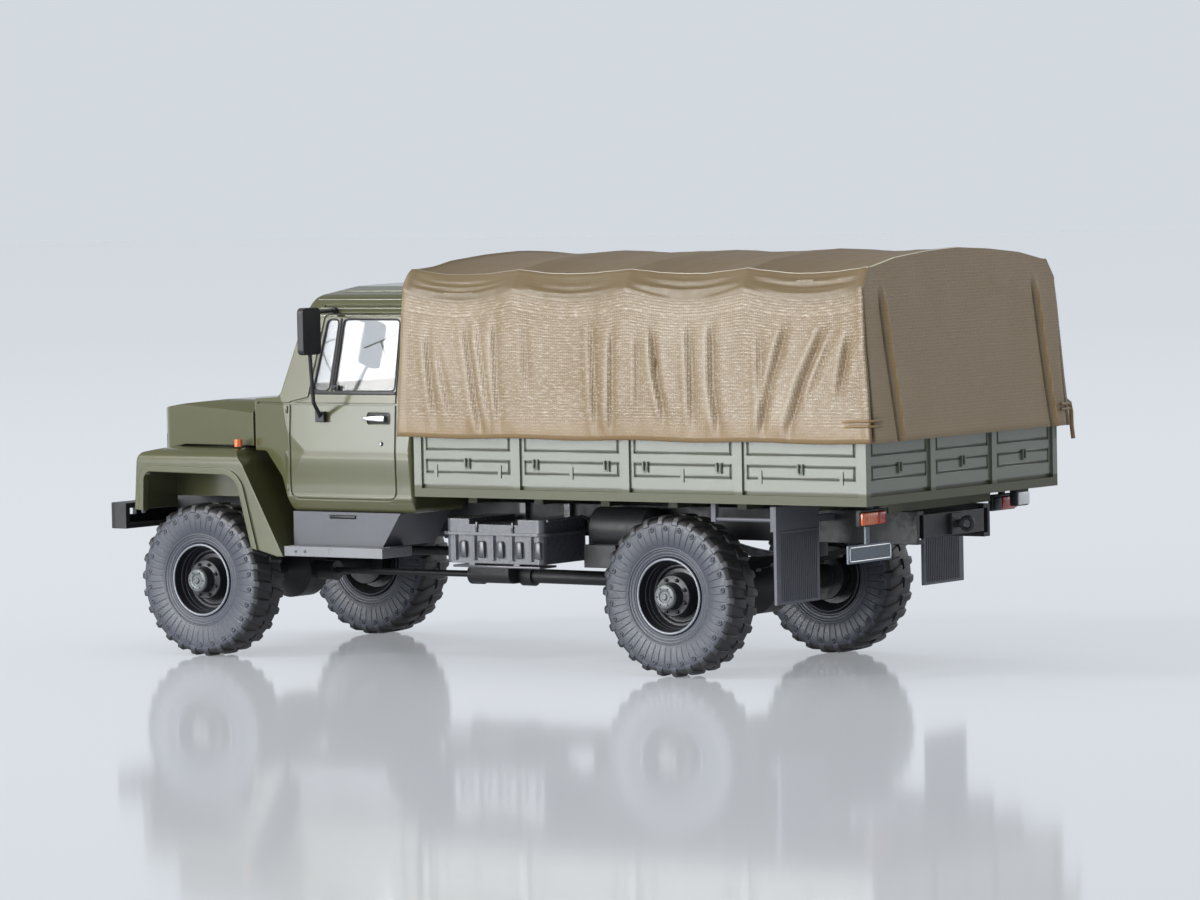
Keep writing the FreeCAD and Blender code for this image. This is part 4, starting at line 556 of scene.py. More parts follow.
def addTube(mesh, points, radius, closed=False):
    curve = bpy.data.curves.new("tubeLine", "CURVE")
    curve.dimensions = "3D"
    curve.bevel_depth = radius * mm
    curve.bevel_resolution = 2
    curve.use_fill_caps = not closed
    spline = curve.splines.new("POLY")
    spline.points.add(len(points) - 1)
    for point, place in zip(spline.points, points):
        point.co = (*(Vector(place) * mm), 1)
    spline.use_cyclic_u = closed
    holder = bpy.data.objects.new("tubeLine", curve)
    made = bpy.data.meshes.new_from_object(holder)
    mesh.from_mesh(made)
    bpy.data.objects.remove(holder)
    bpy.data.meshes.remove(made)
    bpy.data.curves.remove(curve)


def mirrorCopy(mesh):
    made = bmesh.ops.duplicate(mesh, geom=mesh.verts[:] + mesh.edges[:] + mesh.faces[:])
    verts = [item for item in made["geom"] if isinstance(item, bmesh.types.BMVert)]
    faces = [item for item in made["geom"] if isinstance(item, bmesh.types.BMFace)]
    bmesh.ops.scale(mesh, vec=(-1, 1, 1), verts=verts)
    bmesh.ops.reverse_faces(mesh, faces=faces)


def rounded(corners, radius, steps=4):
    # Closed line through 3-D corners, each corner softened by a short arc
    line = []
    count = len(corners)
    for index in range(count):
        before, here, after = (Vector(corners[(index + k) % count]) for k in (-1, 0, 1))
        first = here + (before - here).normalized() * radius
        last = here + (after - here).normalized() * radius
        for step in range(steps + 1):
            t = step / steps
            line.append(first * (1 - t) ** 2 + here * 2 * t * (1 - t) + last * t ** 2)
    return line


def smoothStep(low, high, value):
    t = min(1.0, max(0.0, (value - low) / (high - low)))
    return t * t * (3 - 2 * t)


# Canvas cover: one sheet over the bows, closed by a front wall and a rear curtain

coverSetup = {
    "wall": 0.55, "bays": 4, "columns": 232, "halfWidth": 27.4, "hem": 34.6, "height": 27.1,
    "front": -11.4, "rear": 72.6, "frontLean": 0.8, "rearLean": 2.2, "mirror": 61.2,    # mirror: front and rear added
    "bow": ((1.0, 0.0), (0.985, 0.35), (0.968, 0.70), (0.958, 0.80), (0.89, 0.914), (0.62, 0.962), (0.30, 0.988),
            (0.0, 1.0)),
    "sag": ((1.0, 0.0), (0.980, 0.35), (0.958, 0.66), (0.948, 0.752), (0.88, 0.886), (0.60, 0.940), (0.30, 0.970),
            (0.0, 0.985)),
    "rows": (12, 12, 10, 14, 20, 4, 3), "spans": (9.5, 9.5, 2.7, 3.6, 7.4, 8.8, 8.2),    # mm from row to row
    "soften": 0.35, "ledge": 0.34,
    "hemBand": 2.6, "seamWidth": 1.5, "welt": 0.20, "foldDepth": 0.85, "foldWidth": 1.40, "frontRound": 2.1,
    "foldFade": 2.5, "ridge": (0.75, 0.8, 0.75), "valley": (-0.1, 0.62, 1), "swell": (-2.0, 1.4, 0.25),
    "ripples": ((0.16, 0.11, 3, 0.13, 1.7, 0), (0.07, 0.45, 0, 0.30, 0, 5.1)), "frontRows": (3.1, 1.3),
    "frontPuff": (0.45, 3.7, 0.45), "weltRow": (3.97, 0.075), "ledgeRows": (2.88, 3.0, 3.85, 4.0), "rowSize": 3.6,
    "seamRise": 0.10, "seamFade": 0.3, "hemRise": 0.10, "hemFade": 0.4, "hemWave": (0.10, 1.2, 4),
    "folds": (
        (((-6.1, 49.3), (-4.5, 38.0)), 0.40, 0.75), (((-3.9, 46.8), (-1.7, 38.6)), 0.30, 0.6),
        (((1.0, 50.8), (3.0, 40.0), (4.1, 35.8)), 0.42, 0.8), (((3.2, 50.8), (5.0, 41.8), (6.0, 36.9)), 0.36, 0.65),
        (((6.4, 51.8), (7.0, 41.8), (7.5, 36.9)), 0.34, 0.8), (((11.9, 51.5), (12.4, 42.4)), 0.22, 0.8),
        (((23.9, 51.1), (25.0, 37.1)), 0.36, 0.8), (((27.7, 50.8), (27.7, 36.6)), 0.40, 0.7),
        (((32.2, 49.9), (32.3, 38.9)), 0.26, 0.6), (((34.7, 50.2), (35.4, 44.0), (36.9, 38.6)), 0.62, 0.6),
        (((41.0, 51.1), (42.1, 37.6)), 0.42, 0.8), (((45.0, 51.1), (45.2, 43.1), (46.5, 36.6)), 0.50, 0.8),
        (((53.3, 50.0), (54.0, 37.4)), 0.28, 0.7), (((57.6, 50.8), (55.0, 41.9), (54.0, 36.9)), 0.52, 0.75),
        (((64.0, 50.3), (60.6, 43.2), (58.5, 36.9)), 0.66, 0.85), (((65.7, 49.7), (62.0, 41.3)), 0.45, 0.6),
        (((68.5, 49.4), (67.0, 42.0)), 0.55, 0.7)),
    "swags": ((0, 3.14, 0.34, 0.40, 0.95), (0, 3.38, 0.26, 0.34, 0.9), (0, 3.62, 0.14, 0.34, 0.7),
              (1, 3.10, 0.24, 0.40, 0.9), (1, 3.40, 0.10, 0.35, 0.6), (2, 3.22, 0.42, 0.40, 0.95),
              (2, 3.58, 0.18, 0.35, 0.8), (3, 3.16, 0.22, 0.40, 0.9), (3, 3.55, 0.40, 0.34, 0.9),
              (3, 3.36, 0.22, 0.34, 0.8)),
    "curtain": (((21.6, 56.9), (21.0, 48.0), (19.5, 35.0)), ((-20.3, 57.2), (-21.2, 48.0), (-22.9, 35.0))),
    "curtainDepth": 0.75, "ties": ((11.4, 55.9, 58.0), (-10.8, 55.6, 57.5)),
}


def coverRows():
    # Row parameters from the hem to the ridge: place along the control points, one unit to each
    rows = []
    for index, count in enumerate(coverSetup["rows"]):
        rows += [index + step / count for step in range(count)]
    return rows + [float(len(coverSetup["rows"]))]


def coverSection(row, slack):
    def at(points, t):
        t = max(0.0, min(len(points) - 1.0, t))
        index = min(int(t), len(points) - 2)
        a, b = Vector(points[index]), Vector(points[index + 1])
        return a.lerp(b, t - index)
    total = Vector((0.0, 0.0))
    soft = coverSetup["soften"]
    spans = coverSetup["spans"]
    for k in (-1.0, -0.5, 0.0, 0.5, 1.0):
        index = min(int(row), len(spans) - 1)
        wide = soft * (2.2 if row > 5 else 1.0)
        t = row + k * wide / spans[index]
        mirrored = t > len(spans)
        t = 2 * len(spans) - t if mirrored else t
        point = at(coverSetup["bow"], t).lerp(at(coverSetup["sag"], t), slack)
        total += Vector((-point.x if mirrored else point.x, point.y))
    total /= 5
    if row <= 0:
        total.y = 0.0
    return total.x * coverSetup["halfWidth"], coverSetup["hem"] + total.y * coverSetup["height"]


def bell(gap, spread):
    return math.exp(-(gap / spread) ** 2)


def foldHeight(folds, across, up, flip):
    # Ridge, valley and swell side by side: each has its shift, spread and height in fold widths
    height = 0.0
    reach = coverSetup["foldFade"]
    for line, depth, width in folds:
        depth, width = depth * coverSetup["foldDepth"], width * coverSetup["foldWidth"]
        top, low = line[0][1], line[-1][1]
        if up > top + reach or up < low - reach:
            continue
        place = line[-1][0]
        for (a0, b0), (a1, b1) in zip(line, line[1:]):
            if b1 <= up <= b0 or up > b0 and (a0, b0) == line[0]:
                place = a0 + (a1 - a0) * (b0 - up) / (b0 - b1)
                break
        gap = (across - place) * flip
        fade = smoothStep(low - reach, low + reach, up) * (1 - smoothStep(top - reach, top + reach, up))
        ridge, valley, swell = (bell(gap + width * shift, width * spread) * rise for shift, spread, rise
                                in (coverSetup[key] for key in ("ridge", "valley", "swell")))
        height += depth * fade * (ridge - valley + swell)
    return height


def coverPoint(share, row, side):
    # Point of the sheet and its outward push, in mm
    y0 = coverSetup["front"] + (coverSetup["rear"] - coverSetup["front"]) * share
    bay = min(coverSetup["bays"] - 1, int(share * coverSetup["bays"]))
    inBay = share * coverSetup["bays"] - bay
    slack = math.sin(math.pi * inBay) ** 1.1
    x, z = coverSection(row, slack)
    lift = (z - coverSetup["hem"]) / coverSetup["height"]
    y = y0 + coverSetup["frontLean"] * lift * (1 - share) - coverSetup["rearLean"] * lift * share
    near = max(0.0, 1 - share * 12) ** 2
    first, over = coverSetup["frontRows"]
    y += coverSetup["frontRound"] * min(1.0, max(0.0, (row - first) / over)) ** 2 * near
    if row >= 3:
        outward = Vector((0.35 * (4.2 - row) if row < 4.2 else 0.0, 0, 1)).normalized()
    elif row > 2:
        outward = Vector((1.0, 0, (row - 2) * 0.9)).normalized()
    else:
        outward = Vector((1, 0, 0))
    push = 0.0
    if row < 3:
        where = y if side > 0 else coverSetup["mirror"] - y
        push += foldHeight(coverSetup["folds"], where, z, 1 if side > 0 else -1) * (1 - smoothStep(1.8, 2.4, row))
    for rise, along, shift, up, seed, sideSeed in coverSetup["ripples"]:
        push += rise * noise.noise(Vector((y * along + shift * side, z * up, seed + sideSeed * side)))
    rise, level, spread = coverSetup["frontPuff"]
    push += rise * near * bell(row - level, spread)
    level, spread = coverSetup["weltRow"]
    push += coverSetup["welt"] * bell(row - level, spread) * smoothStep(0.0, 0.02, share)
    low0, low1, high0, high1 = coverSetup["ledgeRows"]
    push += coverSetup["ledge"] * smoothStep(low0, low1, row) * (1 - smoothStep(high0, high1, row))
    for where, level, depth, width, reach in coverSetup["swags"]:
        if where == bay and side > 0 or where == 3 - bay and side < 0:
            spread = max(0.0, 1 - (abs(inBay - 0.5) * 2 / reach) ** 2)
            drop = (row - level - 0.10 * (1 - slack)) * coverSetup["rowSize"]
            push += depth * spread * (bell(drop, width) - 0.8 * bell(drop + width * 1.5, width * 0.8))
    edge = min(y0 - coverSetup["front"], coverSetup["rear"] - y0)
    wide, fade = coverSetup["seamWidth"], coverSetup["seamFade"]
    if edge < wide:
        push += coverSetup["seamRise"] * smoothStep(0, fade, edge) * (1 - smoothStep(wide - fade, wide, edge))
    if row < 0.6:
        band = z - coverSetup["hem"]
        wide = coverSetup["hemBand"]
        push += coverSetup["hemRise"] * (1 - smoothStep(wide - coverSetup["hemFade"], wide, band))
        rise, turn, reach = coverSetup["hemWave"]
        z += rise * math.sin(math.pi * inBay * 2 + turn) * (1 - smoothStep(0, reach, band))
    point = Vector((x * side, y, z)) + Vector((outward.x * side, 0, outward.z)) * push
    return point, y0 - coverSetup["front"]


borderPlaces = {}


def endPoint(across, up, front):
    # Blend of the sheet's end rows: across from the left side to the right, up from the hem to the roof
    rows = coverRows()
    split = rows.index(3.0)

    def border(index, side):
        if (front, index, side) not in borderPlaces:
            borderPlaces[front, index, side] = coverPoint(0.0 if front else 1.0, rows[index], side)[0]
        return borderPlaces[front, index, side]
    sideIndex = up * split
    low = min(int(sideIndex), split - 1)
    left = border(low, 1).lerp(border(low + 1, 1), sideIndex - low)
    right = border(low, -1).lerp(border(low + 1, -1), sideIndex - low)
    roofCount = 2 * (len(rows) - 1 - split)
    roofIndex = across * roofCount
    step = min(int(roofIndex), roofCount - 1)

    def roof(index):
        half = len(rows) - 1 - split
        return border(split + index, 1) if index <= half else border(split + roofCount - index, -1)
    top = roof(step).lerp(roof(step + 1), roofIndex - step)
    hemLeft, hemRight = border(0, 1), border(0, -1)
    topLeft, topRight = roof(0), roof(roofCount)
    width = (hemLeft.x - top.x) / (hemLeft.x - hemRight.x)
    bottom = hemLeft.lerp(hemRight, width)
    sides = left.lerp(right, width)
    corners = bottom.lerp(topLeft.lerp(topRight, width), up)
    return sides + bottom.lerp(top, up) - corners


def coverPiece():
    mesh = bmesh.new()
    uvs = mesh.loops.layers.uv.new("UVMap")
    foldLayer = mesh.verts.layers.float.new("foldHeight")
    rows = coverRows()
    half = len(rows) - 1
    spans = coverSetup["spans"]
    ends = [min(int(row), len(spans) - 1) for row in rows]
    reach = [sum(spans[:end]) + (row - end) * spans[end] for row, end in zip(rows, ends)]
    columns = coverSetup["columns"]
    made = bmesh.ops.create_grid(mesh, x_segments=columns, y_segments=2 * half, size=0.5)["verts"]
    flat = {}
    for vert in made:
        column = round((vert.co.x + 0.5) * columns)
        line = round((vert.co.y + 0.5) * 2 * half)
        side = 1 if line <= half else -1
        index = line if line <= half else 2 * half - line
        point, run = coverPoint(column / columns, rows[index], side)
        flat[vert] = (run, reach[index])
        if rows[index] < 3:
            where = point.y if side > 0 else coverSetup["mirror"] - point.y
            vert[foldLayer] = foldHeight(coverSetup["folds"], where, point.z, side)
        vert.co = point * mm
    for face in mesh.faces:
        for loop in face.loops:
            loop[uvs].uv = flat[loop.vert]
    split = rows.index(3.0)
    across, up = 2 * (half - split), split
    for front in (True, False):
        old = set(mesh.faces)
        made = bmesh.ops.create_grid(mesh, x_segments=across, y_segments=up, size=0.5)["verts"]
        flat = {}
        for vert in made:
            column = round((vert.co.x + 0.5) * across)
            line = round((vert.co.y + 0.5) * up)
            point = endPoint(column / across, line / up, front)
            inside = min(column, across - column, up - line) > 0
            height = point.z - coverSetup["hem"]
            flat[vert] = (point.x + 200, height)
            if inside:
                calm = min(1.0, min(column, across - column, up - line) / 3)
                ripple = 0.22 * noise.noise(Vector((point.x * 0.16, point.z * 0.05, 9.0 if front else 4.0)))
                point.y += ripple * calm
                if not front:
                    vert[foldLayer] = curtainHeight(point.x, point.z)
                    point.y += coverSetup["curtainDepth"] * calm * vert[foldLayer]
            vert.co = point * mm
        for face in set(mesh.faces) - old:
            face.material_index = 1
            for loop in face.loops:
                loop[uvs].uv = flat[loop.vert]
    piece = finishPiece("canvas_cover", mesh, ["tanCanvas", "endCanvas"], replaces=["tarp_cover"],
                        sharp=60, merge=0.02)
    wall = piece.modifiers.new("wall", "SOLIDIFY")
    wall.thickness = coverSetup["wall"] * mm
    wall.offset = -1


def curtainHeight(x, z):
    height = 0.0
    for line in coverSetup["curtain"]:
        place = line[0][0]
        for (a0, b0), (a1, b1) in zip(line, line[1:]):
            if b1 <= z <= b0:
                place = a0 + (a1 - a0) * (b0 - z) / (b0 - b1)
        if z < line[-1][1]:
            place = line[-1][0]
        gap = place - x
        fade = 1 - smoothStep(line[0][1] - 3.5, line[0][1] + 0.5, z)
        height += fade * (0.8 * bell(gap - 0.35, 0.45) - 0.5 * bell(gap + 0.45, 0.40))
    for place, low, high in coverSetup["ties"]:
        mark = smoothStep(low - 0.4, low, z) * (1 - smoothStep(high, high + 0.4, z))
        height += 0.5 * mark * bell(x - place, 0.45)
    return height


lashSetup = {    # line: outward, along, and up from the level
    "levels": (37.9, 37.15), "radius": 0.2, "tailRadius": 0.33,
    "line": ((27.15, 67.6, -0.25), (27.55, 70.0, 0), (27.55, 72.2, 0), (27.0, 72.75, 0), (24.6, 72.75, 0)),
    "tail": ((-27.6, 71.8, 38.4), (-28.2, 72.1, 37.9), (-28.45, 72.2, 36.6), (-28.5, 72.2, 34.6),
             (-28.75, 72.3, 32.6)),
}


def coverTies():
    # Moulded lashing round both rear corners; the right one ends in a hanging tail
    mesh = bmesh.new()
    for side in (1, -1):
        for level in lashSetup["levels"]:
            addTube(mesh, [(side * x, y, level + up) for x, y, up in lashSetup["line"]], lashSetup["radius"])
    addTube(mesh, lashSetup["tail"], lashSetup["tailRadius"])
    finishPiece("cover_lashing", mesh, "tanStrap")


coverPiece()
coverTies()
print("cover ready")

# Wheels

tyreSetup = {
    "lugs": 26, "fractions": (0.0, 0.03, 0.25, 0.47, 0.5, 0.53, 0.75, 0.97),
    "half": ((2.30, 5.62), (2.62, 5.66), (2.78, 5.80), (2.84, 5.94), (2.80, 6.04), (2.92, 6.16), (2.96, 6.40),
             (2.90, 6.50), (3.00, 6.60), (3.05, 6.80), (2.99, 6.88), (3.13, 6.96), (3.17, 7.06), (3.10, 7.16),
             (3.18, 7.36), (3.27, 7.7), (3.35, 8.2), (3.40, 8.7), (3.42, 9.15), (3.42, 9.6), (3.40, 10.0),
             (3.35, 10.4), (3.26, 10.75), (3.10, 11.05), (2.86, 11.24), (2.2, 11.36), (1.2, 11.45), (0.0, 11.48)),
    "grooveFrom": 7.6, "grooveTo": 10.3, "grooveDepth": 0.10, "treadFrom": 10.85,
    "lug": ((0.25, 10.9), (0.25, 11.80), (1.45, 11.83), (2.55, 11.79), (3.06, 11.58), (3.36, 11.0), (3.44, 10.5),
            (2.4, 10.4)),
    "lugWidth": 1.10, "lugTop": 1.04, "lugFlare": 0.22, "flareFrom": 3.1, "crown": 11, "lugBevel": 0.16,
    "slant": 0.28, "slantFrom": 1.6, "slantOver": 1.4,
    "dimple": ((3.25, 0.12), (3.46, 0.14), (3.54, 0.22), (3.52, 0.33), (3.40, 0.38), (3.25, 0.37), (3.25, 0.12)),
    "dimpleRing": 9.92,
}


def tyreMesh():
    mesh = bmesh.new()
    half = tyreSetup["half"]
    outline = list(half) + [(-a, r) for a, r in reversed(half[:-1])]
    steps = [i + f for i in range(tyreSetup["lugs"]) for f in tyreSetup["fractions"]]
    columns = len(steps)
    made = bmesh.ops.create_grid(mesh, x_segments=columns, y_segments=len(outline), size=0.5)["verts"]
    for vert in made:
        column = round((vert.co.x + 0.5) * columns) % columns
        line = round((vert.co.y + 0.5) * len(outline)) % len(outline)
        a, r = outline[line]
        angle = 2 * math.pi * (steps[column] + 0.25) / tyreSetup["lugs"]
        outer = 1 if a > 0 else -1
        if tyreSetup["grooveFrom"] < r < tyreSetup["grooveTo"] and steps[column] % 0.5 == 0.0:
            a -= outer * tyreSetup["grooveDepth"]
        vert.co = Vector((a, r * math.sin(angle), r * math.cos(angle))) * mm
    bmesh.ops.remove_doubles(mesh, verts=mesh.verts, dist=0.002 * mm)
    for side in (-1, 1):
        for index in range(tyreSetup["lugs"]):
            angle = 2 * math.pi * (index + 0.25 + (side + 1) / 4) / tyreSetup["lugs"]
            addLug(mesh, side, angle)
    for face in mesh.faces:
        middle = face.calc_center_median()
        face.material_index = int(math.hypot(middle.y, middle.z) > tyreSetup["treadFrom"] * mm)
    for side in (-1, 1):
        for index in range(tyreSetup["lugs"]):
            angle = 2 * math.pi * (index + 0.5 + (side + 1) / 4) / tyreSetup["lugs"]
            ring = tyreSetup["dimpleRing"]
            addSpun(mesh, [(a * side, r) for a, r in tyreSetup["dimple"]],
                    (0, ring * math.sin(angle), ring * math.cos(angle)), 10)
    return mesh


def addLug(mesh, side, angle):
    turn = Matrix.Rotation(-angle, 4, "X")
    slant = tyreSetup["slant"] * side
    verts = []
    wide = {}
    for a, r in tyreSetup["lug"]:
        shift = slant * (tyreSetup["slantFrom"] - a) / tyreSetup["slantOver"]
        width = tyreSetup["lugTop" if r > tyreSetup["crown"] else "lugWidth"]
        width += tyreSetup["lugFlare"] * (tyreSetup["flareFrom"] - a)
        verts.append(mesh.verts.new(Vector((side * a, shift - width / 2, r)) * mm))
        wide[a, r] = width
    made = bmesh.ops.extrude_face_region(mesh, geom=[mesh.faces.new(verts)])["geom"]
    moved = [item for item in made if isinstance(item, bmesh.types.BMVert)]
    for vert in moved:
        near = min(wide, key=lambda spot: abs(spot[0] - abs(vert.co.x) / mm) + abs(spot[1] - vert.co.z / mm))
        vert.co.y += wide[near] * mm
    tops = [edge for edge in {e for v in verts + moved for e in v.link_edges}
            if all(v.co.z / mm > tyreSetup["crown"] for v in edge.verts)
            and abs(edge.verts[0].co.y - edge.verts[1].co.y) < 0.5 * mm]
    bmesh.ops.bevel(mesh, geom=tops, offset=tyreSetup["lugBevel"] * mm, segments=1, profile=0.5,
                    affect="EDGES", material=-1)
    whole = set()
    stack = [verts[-1]]
    while stack:
        vert = stack.pop()
        if vert in whole:
            continue
        whole.add(vert)
        stack += [edge.other_vert(vert) for edge in vert.link_edges]
    bmesh.ops.transform(mesh, matrix=turn, verts=list(whole))


rimSetup = {
    "steps": 96,
    "studs": ((8, 0.5, 2.48, ((1.8, 2.36, 0.28, 6, 0.05), (2.2, 2.52, 0.13, 10, 0.0))),
              (6, 0.0, 1.30, ((3.9, 4.14, 0.12, 6, 0.0),))),    # count, turn, ring, rods
    "outline": ((4.14, 0.0), (4.14, 0.38), (4.06, 0.46), (3.90, 0.50), (3.90, 0.84), (4.02, 0.90), (4.06, 0.98),
                (4.06, 1.50), (3.98, 1.68), (3.82, 1.80), (3.60, 1.84), (2.20, 1.92), (2.04, 2.00), (2.00, 2.10),
                (2.00, 2.90), (1.90, 3.02), (1.70, 3.06), (0.4, 3.10), (0.2, 3.16), (-0.35, 3.25), (-0.40, 3.35),
                (-0.40, 3.9), (-0.30, 4.05), (0.0, 4.12), (0.12, 4.2), (0.12, 4.45), (0.3, 4.6), (0.75, 4.72),
                (0.85, 4.80), (0.85, 4.86), (1.45, 4.94), (1.55, 5.02), (1.60, 5.10), (2.2, 5.16), (2.72, 5.20),
                (2.94, 5.24), (3.03, 5.32), (3.05, 5.42), (3.02, 5.52), (2.92, 5.60), (2.74, 5.62), (-2.74, 5.62),
                (-2.92, 5.60), (-3.03, 5.50), (-3.05, 5.40), (-3.00, 5.30), (-2.90, 5.22), (-1.2, 4.35),
                (-1.2, 3.25), (-3.08, 3.25), (-3.08, 0.80), (3.60, 0.80), (3.65, 0.0)),
}


def rimMesh():
    mesh = bmesh.new()
    # The flange lip takes the painted highlight, the hub face the hub grey
    addSpun(mesh, rimSetup["outline"], (0, 0, 0), rimSetup["steps"],
            lambda a, r: 1 if a > 2.86 and r > 5.2 else 2 if a > 3.55 and r < 1.9 else 0)
    for count, turn, ring, rods in rimSetup["studs"]:
        for index in range(count):
            angle = 2 * math.pi * (index + turn) / count
            y, z = ring * math.cos(angle), ring * math.sin(angle)
            for inner, outer, radius, sides, corner in rods:
                addRod(mesh, (inner, y, z), (outer, y, z), radius, sides=sides, corner=corner)
    return mesh


wheelSetup = {"across": 21.2, "level": 11.85}
wheelPlaces = {"front_left": (1, -52.6), "front_right": (-1, -52.6), "rear_left": (1, 35.1), "rear_right": (-1, 35.1)}
wheelKinds = (("lugged_", "tyre_", tyreMesh(), ["tyreRubber", "treadRubber"], "tyre_rubber"),
              ("dished_", "rim_", rimMesh(), ["rimBlack", "rimEdge", "hubGrey"], "rim_black"))
for corner, (side, y) in wheelPlaces.items():
    place = Vector((side * wheelSetup["across"], y, wheelSetup["level"])) * mm
    for look, kind, shape, finish, slot in wheelKinds:
        mesh = shape.copy()
        if side < 0:
            bmesh.ops.scale(mesh, vec=(-1, 1, 1), verts=mesh.verts)
        bmesh.ops.translate(mesh, vec=place, verts=mesh.verts)
        finishPiece(look + kind + corner, mesh, finish, body="wheel_" + corner, replaces=[kind + corner],
                    sharp=28, merge=0.001)
print("wheels ready")

# Cab trim

sealSetup = {"flank": (22.94, 41.0, 0.1577), "corner": 0.9, "radius": 0.16, "sink": -0.04,
             "quarter": ((-30.8, 41.15), (-27.6, 41.15), (-26.64, 51.99), (-28.9, 51.99)),
             "door": ((-26.77, 41.15), (-15.12, 41.15), (-15.02, 51.99), (-25.8, 51.99)),
             "bar": ((-27.2, 41.0), (-26.2, 52.1)), "barRadius": 0.24, "barSink": -0.06,
             "sill": ((41.6, -0.2, -31.3, 40.62), (41, 0.14, -14.9, 41.12)), "sillRound": 0.1,
             "catch": ((41.6, -0.1, -26.9, 41.3), (41.6, 0.42, -25.6, 42.1)), "catchRound": 0.12,
             "pin": ((42, 0.1, -26.1, 41.7), (42, 0.75, -26.1, 41.7)), "pinRadius": 0.16}


def onFlank(level, out, y, z):
    # The cab side leans in from a level up
    edge, start, lean = sealSetup["flank"]
    return (edge - (level - start) * lean + out, y, z)


def windowSeals():
    mesh = bmesh.new()
    for outline in ("quarter", "door"):
        corners = [onFlank(z, sealSetup["sink"], y, z) for y, z in sealSetup[outline]]
        addTube(mesh, rounded(corners, sealSetup["corner"]), sealSetup["radius"], closed=True)
    addTube(mesh, [onFlank(z, sealSetup["barSink"], y, z) for y, z in sealSetup["bar"]], sealSetup["barRadius"])
    for part in ("sill", "catch"):
        addBlock(mesh, *(onFlank(*corner) for corner in sealSetup[part]), sealSetup[part + "Round"])
    addRod(mesh, *(onFlank(*end) for end in sealSetup["pin"]), sealSetup["pinRadius"], sides=10)
    mirrorCopy(mesh)
    finishPiece("window_seals", mesh, "rubberSeal")


handleSetup = {"tray": ((23.02, -20.1, 36.30), (23.16, -15.9, 37.92)), "face": 23.95, "level": 37.12, "depth": 0.42,
               "profile": ((-20.9, 0.16), (-20.4, 0.26), (-19.0, 0.36), (-17.2, 0.46), (-16.55, 0.44)),
               "round": 0.12, "foot": ((23.1, -20.0, 36.95), (23.6, -19.4, 37.3)), "footRound": 0.05,
               "lock": ((23.4, -17.4, 33.3), (23.72, -17.4, 33.3)), "lockRadius": 0.34, "lockRound": 0.06,
               "keyhole": ((23.66, -17.48, 33.1), (23.76, -17.32, 33.5))}


def doorHandles():
    mesh = bmesh.new()
    face, level, profile = (handleSetup[key] for key in ("face", "level", "profile"))
    # Painted shade: a black plate behind the pull stands in for the shaded recess of the handle
    addBlock(mesh, *handleSetup["tray"], handleSetup["footRound"], finish=1)
    outline = [(y, level + half) for y, half in profile] + [(y, level - half) for y, half in reversed(profile)]
    verts = [mesh.verts.new(Vector((face, y, z)) * mm) for y, z in outline]
    made = bmesh.ops.extrude_face_region(mesh, geom=[mesh.faces.new(verts)])["geom"]
    inner = [item for item in made if isinstance(item, bmesh.types.BMVert)]
    bmesh.ops.translate(mesh, vec=(-handleSetup["depth"] * mm, 0, 0), verts=inner)
    ring = [edge for edge in {e for v in verts for e in v.link_edges} if all(v in verts for v in edge.verts)]
    bmesh.ops.bevel(mesh, geom=ring, offset=handleSetup["round"] * mm, segments=3, profile=0.5, affect="EDGES",
                    material=-1)
    addBlock(mesh, *handleSetup["foot"], handleSetup["footRound"])
    addRod(mesh, *handleSetup["lock"], handleSetup["lockRadius"], sides=20, finish=1, corner=handleSetup["lockRound"])
    addBlock(mesh, *handleSetup["keyhole"])
    mirrorCopy(mesh)
    finishPiece("handle_pulls", mesh, ["brightMetal", "interiorBlack"], replaces=["door_handles"])


hingeSetup = {"place": (23.25, -35.62), "levels": (38.3, 31.6, 26.4), "half": 0.55, "radius": 0.24, "round": 0.06}


def hinges():
    mesh = bmesh.new()
    place, half = hingeSetup["place"], hingeSetup["half"]
    for z in hingeSetup["levels"]:
        addRod(mesh, (*place, z - half), (*place, z + half), hingeSetup["radius"], sides=12,
               corner=hingeSetup["round"])
    mirrorCopy(mesh)
    finishPiece("door_hinges", mesh, "bodyGreen")


wiperSetup = {"spread": 7.6, "pivot": (0.8, -37.35, 41.75), "tip": (7.2, -35.25, 47.9), "armRadius": 0.14,
              "arm": (-0.25, -0.5, -0.35), "blade": (4.2, 0, -0.9), "bladeOut": (-0.28, -0.3), "bladeRadius": 0.13,
              "hub": ((0, 0.3, -0.1), (0, -0.5, 0)), "hubRadius": 0.32, "hubRound": 0.08}


def wipers():
    mesh = bmesh.new()
    across = Vector(wiperSetup["blade"])
    for side in (1, -1):
        pivot, tip = (Vector((side * wiperSetup["spread"] + x, y, z))
                      for x, y, z in (wiperSetup["pivot"], wiperSetup["tip"]))
        line = zip((pivot, pivot.lerp(tip, 0.5), tip), wiperSetup["arm"])
        addTube(mesh, [point + Vector((0, out, 0)) for point, out in line], wiperSetup["armRadius"])
        first, last = (tip + Vector((0, out, 0)) for out in wiperSetup["bladeOut"])
        addTube(mesh, [first - across, last + across], wiperSetup["bladeRadius"])
        addRod(mesh, *(pivot + Vector(end) for end in wiperSetup["hub"]), wiperSetup["hubRadius"], sides=12,
               corner=wiperSetup["hubRound"])
    finishPiece("wiper_arms", mesh, "rubberSeal")


windowSeals()
doorHandles()
hinges()
wipers()
print("cab trim ready")

# Bed trim: painted shadow in the pressed lines, round edges beside them, round rope hooks

